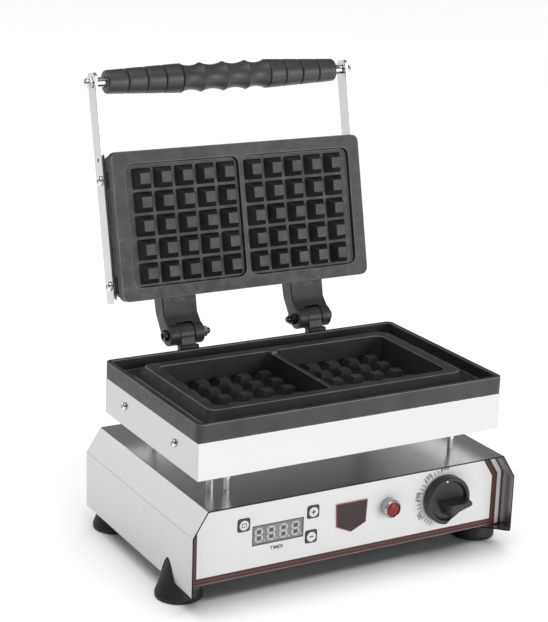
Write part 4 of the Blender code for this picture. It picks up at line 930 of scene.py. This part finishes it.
def make_skirt():
    wall, seam = 0.001, 0.0005
    skirt = block("skirt_box", SKIRT_LOW, SKIRT_HIGH, SKIRT_STEEL)
    inside_low = SKIRT_LOW + Vector((wall, wall, wall))
    inside_high = Vector((SKIRT_HIGH.x - wall, SKIRT_HIGH.y - wall, SKIRT_HIGH.z + wall))
    boolean(skirt, block("inside", inside_low, inside_high))
    for x, y, radius in POST_HOLES:
        boolean(skirt, prism("hole", circle((x, y), radius), SKIRT_LOW.z - 0.003, SKIRT_LOW.z + 0.003))
    for sign in (-1, 1):
        for y in (SKIRT_LOW.y + wall, SKIRT_HIGH.y - wall - seam):
            x0, x1 = span(sign, SKIRT_HIGH.x - wall * 0.55, SKIRT_HIGH.x + 0.001)
            low, high = (x0, y, SKIRT_LOW.z + wall), (x1, y + seam, SKIRT_HIGH.z + 0.001)
            boolean(skirt, block("seam", low, high))
        for distance in BOSS_DEPTHS:
            x0, x1 = span(sign, SKIRT_HIGH.x - 0.003, SKIRT_HIGH.x + 0.003)
            hole = prism("hole", circle((0, 0), 0.0022), x0, x1)
            hole.matrix_world = facing_side(1, 0, depth(distance), SKIRT_SCREW_Z)
            boolean(skirt, hole)
    soften(skirt, 0.00025, 2, 35)
    # Painted shade: the side faces take a darker copy of the front's steel.
    skirt.data.materials.append(SKIRT_SIDE_SHADE)
    skirt.data.materials.append(EDGE_SHADE)
    # Painted shade: faces inside the seams take a near-black steel.
    for face in skirt.data.polygons:
        in_seam = 0.2 < (SKIRT_HIGH.x - abs(face.center.x)) / wall < 0.7 and abs(face.normal.z) < 0.5
        face.material_index = 2 if in_seam else int(abs(face.normal.x) > 0.7)
    on_base(skirt, "brushed_steel", "lower_skirt")
    for side, sign in SIDES:
        for end, distance in zip(("front", "back"), BOSS_DEPTHS):
            place = facing_side(sign, sign * (SKIRT_HIGH.x + CLEARANCE), depth(distance), SKIRT_SCREW_Z)
            made = screw(f"skirt_fixing_{end}_{side}", *SKIRT_SCREW, place, FASTENER)
            on_base(made, "fastener_steel", f"skirt_screw_{end}_{side}")


CAVITY_X = (0.002, 0.1155)
CAVITY_DEPTH = (0.0365, 0.1468)
PEG_X, PEG_DEPTH, PEG_PITCH, PEGS_ACROSS = 0.0142, 0.0500, 0.02115, 5
PEG_BASE, PEG_TIP = 0.0090, 0.0049
PEG_ROUND = 0.0007
# The last entry paints a highlight on the rounded edges of both castings.
CASTING_EDGES = (0.0007, 2, 32, 45, EDGE_HIGHLIGHT)  # what soften is given for both castings


def pegs(name, floor, tip, material):
    """Both cavities' pegs: each runs out into the floor in a fillet and is rounded at its tip."""
    up = 1 if tip > floor else -1
    height = abs(tip - floor)
    slope = (PEG_BASE - PEG_TIP) / height
    rings = [(PEG_BASE + 0.0003, -0.0006), (PEG_BASE + 0.0003, 0.00004), (PEG_BASE, 0.0003),
             (PEG_BASE - slope * 0.0009, 0.0009)]
    for angle in (0, 30, 60, 90):
        turn = math.radians(angle)
        inward = PEG_ROUND * (1 - math.cos(turn))
        z = height - PEG_ROUND * (1 - math.sin(turn))
        rings.append((PEG_BASE - slope * (height - PEG_ROUND) - inward, z))
    bm = bmesh.new()
    for sign in (-1, 1):
        for column in range(PEGS_ACROSS):
            for row in range(PEGS_ACROSS):
                x, y = sign * (PEG_X + PEG_PITCH * column), depth(PEG_DEPTH + PEG_PITCH * row)
                levels = []
                for half, level in rings:
                    corner = PEG_ROUND + max(0, half - PEG_BASE)
                    outline = round_rect(x - half, x + half, y - half, y + half, corner, 4)
                    levels.append([(px, py, floor + up * level) for px, py in outline])
                bridge(bm, levels)
    return from_bmesh(name, bm, material)


def cavity(sign, shrink, low, high):
    """Cutter for a cavity whose floor is this much smaller all round than its mouth."""
    mouth = [sign * CAVITY_X[0], sign * CAVITY_X[1]]
    floor = [sign * (CAVITY_X[0] + shrink[0]), sign * (CAVITY_X[1] - shrink[1])]
    rects = [(*sorted(pair), depth(CAVITY_DEPTH[0] + inset), depth(CAVITY_DEPTH[1] - inset))
             for pair, inset in ((floor, shrink[2]), (mouth, 0))]
    if low < high:
        return tapered("cavity", rects[0], rects[1], low, high, 0.007)
    return tapered("cavity", rects[1], rects[0], high, low, 0.007)


def add_bosses(casting, inner, outer, distances, z_low, z_high):
    """Blocks on both sides of a casting, which its side screws go into."""
    for sign in (-1, 1):
        x0, x1 = span(sign, inner, outer)
        for distance in distances:
            y0, y1 = depth(distance) - BOSS_HALF_WIDTH, depth(distance) + BOSS_HALF_WIDTH
            boolean(casting, block("boss", (x0, y0, z_low), (x1, y1, z_high), CAST), "UNION")


PLATE_MIDDLE = depth(0.0916)


def paint_flank_shade(casting, inside):
    """Painted shade: every steep face within this distance of the casting's middle in x and y takes a
    near-black cast iron.
    """
    casting.data.materials.append(FLANK_SHADE)
    shade_slot = len(casting.data.materials) - 1
    for face in casting.data.polygons:
        x, y = face.center.x, face.center.y - PLATE_MIDDLE
        steep = face.material_index == 0 and abs(face.normal.z) < 0.8
        if steep and abs(x) < inside[0] and abs(y) < inside[1]:
            face.material_index = shade_slot


def make_lower_plate():
    width, back = PLATE_HIGH.x, PLATE_HIGH.y
    bottom, top = 0.1441, PLATE_HIGH.z
    gutter_z, cavity_z, tub_z, peg_top = 0.1495, 0.135, 0.129, 0.145
    wall, draft = 0.0045, 0.0008
    casting = block("lower_casting", (-width, FRONT, bottom), (width, back, top), CAST, corner=0.006)
    wide = (-width + wall, width - wall, FRONT + wall, back - wall)
    narrow = (wide[0] + draft, wide[1] - draft, wide[2] + draft, wide[3] - draft)
    boolean(casting, tapered("gutter", narrow, wide, gutter_z, top + 0.001, 0.004))
    lip_low = (-0.1320, 0.1320, depth(0.0200), depth(0.1640))
    lip_high = (-0.1250, 0.1250, depth(0.0270), depth(0.1570))
    boolean(casting, tapered("lip", lip_low, lip_high, gutter_z - 0.001, top, 0.008, CAST), "UNION")
    tub_low = (-0.1200, 0.1200, depth(0.0320), depth(0.1510))
    tub_high = (-0.1220, 0.1220, depth(0.0300), depth(0.1530))
    boolean(casting, tapered("tub", tub_low, tub_high, tub_z, bottom + 0.001, 0.008, CAST), "UNION")
    for sign in (-1, 1):
        boolean(casting, cavity(sign, (0.0018, 0.0050, 0.0022), cavity_z, top + 0.0002))
    low, high = (-0.0035, depth(0.0405), top - 0.002), (0.0035, depth(0.1428), top + 0.002)
    boolean(casting, block("divider", low, high))
    # Rounds the edges, with a painted highlight on them.
    soften(casting, *CASTING_EDGES)
    add_bosses(casting, 0.137, 0.1477, BOSS_DEPTHS, 0.1235, bottom + 0.001)
    boolean(casting, pegs("pegs", cavity_z, peg_top, CAST), "UNION")
    # Painted shade on the steep faces within the outer walls: gutter, lip, cavities and pegs.
    paint_flank_shade(casting, (width - wall * 0.5, back - PLATE_MIDDLE - wall * 0.5))
    on_base(casting, "cast_plate", "lower_plate")


# ---------------------------------------------------------------------------------------------
# Hinges
# ---------------------------------------------------------------------------------------------
HINGE_X = 0.067
EAR_RADIUS = 0.010
BOLT = 0.003
LUG_WIDTH, BRACKET_WIDTH = 0.0146, 0.0346
LUG_SCREW = ((0.0038, 0.0026), (0.0016, 0.019))


def make_hinges():
    eye = (HINGE.y, HINGE.z)
    face = PLATE_HIGH.y + CLEARANCE
    lug_outline = [(face, 0.1385), (face + 0.0075, 0.1385), (face + 0.0085, 0.1600)]
    lug_outline += arc(eye, EAR_RADIUS - 0.0005, -35, 190, 28) + [(face, 0.1650)]
    wall = depth(0.1554)
    ear_outline = [(wall - 0.0200, 0.1863), (wall, 0.1863), (wall, 0.1735), (depth(0.1745), 0.1735)]
    ear_outline += arc(eye, EAR_RADIUS, 200, 420, 28)
    ear_outline += [(depth(0.1735), 0.1905), (depth(0.1600), 0.1915), (wall - 0.0200, 0.1915)]
    slot_radius, slot_half = EAR_RADIUS + 0.0012, 0.0078
    fork = [(0.0, slot_half), (slot_radius, slot_half), (slot_radius, -slot_half), (0.0, -slot_half)]
    for side, sign in SIDES:
        x = sign * HINGE_X
        outlines = [lug_outline, circle(eye, BOLT + 0.0004)[::-1]]
        lug = plate(f"lug_{side}", outlines, LUG_WIDTH, CAST_FITTING, drawn_along(x), 0.0009)
        low = (x - 0.0095, depth(0.1782), PLATE_HIGH.z + CLEARANCE)
        high = (x + 0.0095, face + 0.0022, PLATE_HIGH.z + 0.0034)
        toe = block("toe", low, high, CAST_FITTING, corner=0.002)
        soften(toe, 0.0006)
        boolean(lug, toe, "UNION")
        on_base(lug, "cast_fitting", f"hinge_lug_{side}")
        place = facing_back(x, face + 0.0086, 0.147)
        made = screw(f"lug_fixing_{side}", *LUG_SCREW, place, FASTENER, "hex")
        on_base(made, "fastener_steel", f"lug_screw_{side}")
        outlines = [ear_outline, circle(eye, BOLT + CLEARANCE)[::-1]]
        ear = plate(f"ear_{side}", outlines, BRACKET_WIDTH, CAST_FITTING, drawn_along(x), 0.0012)
        boolean(ear, turned("fork", fork, CAST_FITTING, facing_side(1, x, *eye)))
        on_lid(ear, "cast_fitting", f"hinge_bracket_{side}")
        make_hinge_bolt(side, sign)


def make_hinge_bolt(side, sign):
    reach, length = 0.0176, 0.0440
    head = [(0.0, 0.0034), (0.0044, 0.0034), (0.0050, 0.0029), (0.0052, 0.0022), (0.0052, 0.0)]
    shank = [(BOLT, 0.0), (BOLT, -length + 0.001), (BOLT - 0.0009, -length), (0.0, -length)]
    bolt = turned(f"pivot_bolt_{side}", head + shank, BLACKENED)
    boolean(bolt, drive_cut("hex", 0.0029, 0.0012, 0.005))
    bolt.matrix_world = facing_side(sign, sign * (HINGE_X + reach), HINGE.y, HINGE.z)
    on_lid(bolt, "cast_fitting", f"hinge_bolt_{side}")
    place = facing_side(1, sign * (HINGE_X - reach - 0.0025), HINGE.y, HINGE.z)
    metal = FASTENER if sign < 0 else BLACKENED
    nut = hex_nut(f"pivot_nut_{side}", 0.0056, BOLT + CLEARANCE, 0.005, metal, place)
    on_lid(nut, "fastener_steel", f"hinge_nut_{side}")


# ---------------------------------------------------------------------------------------------
# Lid, built as if it were shut
# ---------------------------------------------------------------------------------------------
ARM_SCREW_DEPTHS = (0.1436, 0.0495)
ARM_SCREW_Z = 0.180
HANDLE_Y, HANDLE_Z = depth(-0.0375), 0.1825
ARM_SHEET = 0.003
ARM_SCREW = ((0.0046, 0.0032), (0.0021, 0.014))
ARM_FACE = LID_HIGH.x + CLEARANCE + ARM_SHEET


def make_upper_plate():
    half, front, back = LID_HIGH.x, LID_LOW.y, LID_HIGH.y
    face, rim, top = 0.1605, 0.1705, LID_HIGH.z
    cavity_z, peg_tip, slope = face + 0.004, face - 0.005, 0.0008
    casting = block("upper_casting", (-half, front, face), (half, back, rim), CAST, corner=0.007)
    inset = 0.003
    low, high = (-half + inset, front + inset, rim - 0.001), (half - inset, back - inset, top)
    boolean(casting, block("body", low, high, CAST, corner=0.006), "UNION")
    for sign in (-1, 1):
        boolean(casting, cavity(sign, (slope, slope, slope), cavity_z, face - 0.0002))
    # Rounds the edges, with a painted highlight on them.
    soften(casting, *CASTING_EDGES)
    add_bosses(casting, half - inset - 0.002, half, ARM_SCREW_DEPTHS, 0.1715, top - 0.0005)
    boolean(casting, pegs("pegs", cavity_z, peg_tip, CAST), "UNION")
    # Painted shade on the steep faces of the cavities and pegs.
    paint_flank_shade(casting, (CAVITY_X[1] + 0.0005, (CAVITY_DEPTH[1] - CAVITY_DEPTH[0]) / 2 + 0.0005))
    on_lid(casting, "cast_plate", "upper_plate")


def make_cover():
    low, high = box_of("upper_cover", LID_UP)
    wall = 0.001
    cover = block("heater_cover", low, high, COVER_STEEL, corner=0.004)
    soften(cover, 0.0014, 4)
    inside = Vector((wall, wall, -wall))
    boolean(cover, block("inside", low + inside, high - Vector((wall, wall, wall)), corner=0.003))
    on_lid(cover, "brushed_steel", "upper_cover")


def make_arms():
    end, low, high, back, chamfer = HANDLE_Y - 0.0085, 0.174, 0.190, depth(0.1593), 0.003
    outline = [(back, low), (back, high), (end + chamfer, high), (end, high - chamfer),
               (end, low + chamfer), (end + chamfer, low)]
    holes = [circle((depth(distance), ARM_SCREW_Z), 0.0027)[::-1] for distance in ARM_SCREW_DEPTHS]
    holes += [circle((depth(0.031), 0.182), 0.0018)[::-1], circle((HANDLE_Y, HANDLE_Z), 0.0033)[::-1]]
    crown = [(0.0, 0.0070), (0.0012, 0.0069), (0.0024, 0.0064), (0.0034, 0.0055), (0.0040, 0.0042),
             (0.0041, 0.0030), (0.0033, 0.0030), (0.0033, 0.0042), (0.0, 0.0046)]
    for side, sign in SIDES:
        place = drawn_along(sign * (ARM_FACE - ARM_SHEET / 2))
        arm = plate(f"side_arm_{side}", [outline, *holes], ARM_SHEET, ARM_STEEL, place, 0.0003)
        on_lid(arm, "brushed_steel", f"handle_arm_{side}")
        for height, distance in zip(("low", "high"), ARM_SCREW_DEPTHS):
            place = facing_side(sign, sign * (ARM_FACE + CLEARANCE), depth(distance), ARM_SCREW_Z)
            name = f"arm_fixing_{height}_{side}"
            made = screw(name, *ARM_SCREW, place, FASTENER, "hex")
            on_lid(made, "fastener_steel", f"arm_screw_{height}_{side}")
        nut = turned(f"cap_nut_{side}", crown, FASTENER)
        base = hex_nut("base", 0.0056, 0.0033, 0.0036, FASTENER, Matrix.Translation((0, 0, 0.0018)))
        boolean(nut, base, "UNION")
        nut.matrix_world = facing_side(sign, sign * (ARM_FACE + CLEARANCE), HANDLE_Y, HANDLE_Z)
        on_lid(nut, "fastener_steel", f"handle_nut_{side}")


def make_handle():
    place = facing_side(1, 0, HANDLE_Y, HANDLE_Z)
    stud, shoulder, rod, thin = ARM_FACE + 0.0036, LID_HIGH.x, 0.0046, 0.003
    half = [(0.0, stud), (thin, stud), (thin, shoulder), (rod - 0.0004, shoulder), (rod, shoulder - 0.0004)]
    profile = half + [(radius, -x) for radius, x in reversed(half)]
    on_lid(turned("grip_rod", profile, FASTENER, place), "fastener_steel", "handle_rod")
    length, end_radius, full, groove = 0.118, 0.0105, 0.0134, 0.0026
    grooves, ridges, dip = (0.0984, 0.0801, 0.0618), (0.0442, 0.0232, 0.0), 0.0024

    def swell(x):
        return end_radius + (full - end_radius) * min(1.0, (length - x) / (length - ridges[0]))

    outline = []
    edges = [length, *grooves, ridges[0] + 0.0008]
    for outer, inner in zip(edges, edges[1:]):
        steps = 24
        for i in range(steps + 1):
            share = i / steps
            x = outer + (inner - outer) * (0.5 - 0.5 * math.cos(math.pi * share))
            hollow = groove * abs(math.cos(math.pi * share)) ** 22
            outline.append((swell(x) - hollow, x))
        outline.pop()
    for ridge, following in zip(ridges, ridges[1:]):
        steps = 16
        for i in range(steps):
            share = i / steps
            radius = full - dip * math.sin(math.pi * share) ** 0.8
            outline.append((radius, ridge + (following - ridge) * share))
    outline += [(full, 0.0)] + [(radius, -x) for radius, x in reversed(outline)]
    grip = outline + [(rod + 0.0004, -length), (rod + 0.0004, length)]
    sleeve = turned("grip_sleeve", grip, GRIP, place, 96, ring=True, crease=24)
    on_lid(sleeve, "grip_plastic", "handle_grip", body="grip")


# ---------------------------------------------------------------------------------------------
# Nodes that keep their CAD shape
# ---------------------------------------------------------------------------------------------
KEPT = {
    # The front panel takes the darker steel of the painted shade.
    "front_panel": SHADED_SHEET, "bottom_tray": GALVANISED, "lower_heater": HEATER,
    "upper_heater": HEATER, "sensor_capillary": HEATER, "terminal_block": CERAMIC,
    "thermostat_body": HOUSING, "thermostat_shaft": FASTENER, "timer_board": BOARD,
    "indicator_lamp": CERAMIC,
}


def finish_kept_nodes():
    for name, material in KEPT.items():
        NODES[name].data.materials.clear()
        NODES[name].data.materials.append(material)


# ---------------------------------------------------------------------------------------------
# Studio and camera
# ---------------------------------------------------------------------------------------------
WORLD_STRENGTH = 0.19
FLOOR_REACH = 6.0
FLOOR_SUN = 3.9
MIDDLE = (0.0, 0.0, 0.15)
LAMPS = (  # name, power, size and place; each looks at the middle
    ("front_right", 19.0, (1.6, 0.9), (1.0, -1.9, 0.55)),
    ("left_back", 9.0, (1.8, 1.3), (-1.25, 2.2, 0.95)),
    ("overhead", 10.0, (1.3, 1.3), (-0.35, -0.25, 1.7)),
)


def glow(name, power, size, place):
    """A rectangular soft light that looks at the middle of the machine."""
    light = bpy.data.lights.new(name, "AREA")
    light.energy = power
    light.shape = "RECTANGLE"
    light.size, light.size_y = size
    obj = link(name, light)
    obj.location = place
    obj.rotation_euler = (Vector(MIDDLE) - Vector(place)).to_track_quat("-Z", "Y").to_euler()
    return obj


def make_studio():
    bm = bmesh.new()
    bmesh.ops.create_grid(bm, x_segments=2, y_segments=2, size=FLOOR_REACH)
    finish = Finish("studio_floor", (0.86, 0.86, 0.86), 0.30, specular_ior_level=0.1).mottled(0.004, 3.0)
    floor = from_bmesh("studio_floor_sheet", bm, finish.material)
    world = bpy.data.worlds.new("studio")
    bpy.context.scene.world = world
    world.use_nodes = True
    background = world.node_tree.nodes["Background"]
    background.inputs["Color"].default_value = (1.0, 1.0, 1.0, 1.0)
    background.inputs["Strength"].default_value = WORLD_STRENGTH
    floor_only, all_but_floor = (bpy.data.collections.new(name) for name in ("floor_only", "all_but_floor"))
    floor_only.objects.link(floor)
    all_but_floor.objects.link(floor)
    all_but_floor.collection_objects[0].light_linking.link_state = "EXCLUDE"
    for lamp in LAMPS:
        glow(*lamp).light_linking.receiver_collection = all_but_floor
    wash = bpy.data.lights.new("floor_wash", "SUN")
    wash.energy = FLOOR_SUN
    wash.angle = math.radians(70)
    link("floor_wash", wash).light_linking.receiver_collection = floor_only


CAMERA_PLACE = (-0.7408, -1.2649, 0.6388)
CAMERA_YAW, CAMERA_PITCH, CAMERA_ROLL = (math.radians(angle) for angle in (-29.95, 16.57, 1.93))
FOCAL_LENGTH = 99.6


def make_camera():
    level = math.cos(CAMERA_PITCH)
    back = Vector((math.sin(CAMERA_YAW) * level, -math.cos(CAMERA_YAW) * level, math.sin(CAMERA_PITCH)))
    right = (-back).cross(Vector((0, 0, 1))).normalized()
    up = right.cross(-back)
    cos, sin = math.cos(CAMERA_ROLL), math.sin(CAMERA_ROLL)
    axes = Matrix((cos * right + sin * up, -sin * right + cos * up, back)).transposed()
    data = bpy.data.cameras.new("photo_view")
    data.sensor_width = 36.0
    data.lens = FOCAL_LENGTH
    data.clip_start, data.clip_end = 0.05, 50.0
    camera = link("photo_view", data)
    camera.matrix_world = Matrix.Translation(CAMERA_PLACE) @ axes.to_4x4()
    bpy.context.scene.camera = camera
    bpy.context.scene.view_settings.view_transform = "Standard"


make_housing()
make_feet()
make_posts()
make_label()
make_display()
make_keys()
make_badge()
make_lamp()
make_knob()
make_dial()
make_back()
make_skirt()
make_lower_plate()
make_hinges()
make_upper_plate()
make_cover()
make_arms()
make_handle()
finish_kept_nodes()
make_studio()
make_camera()
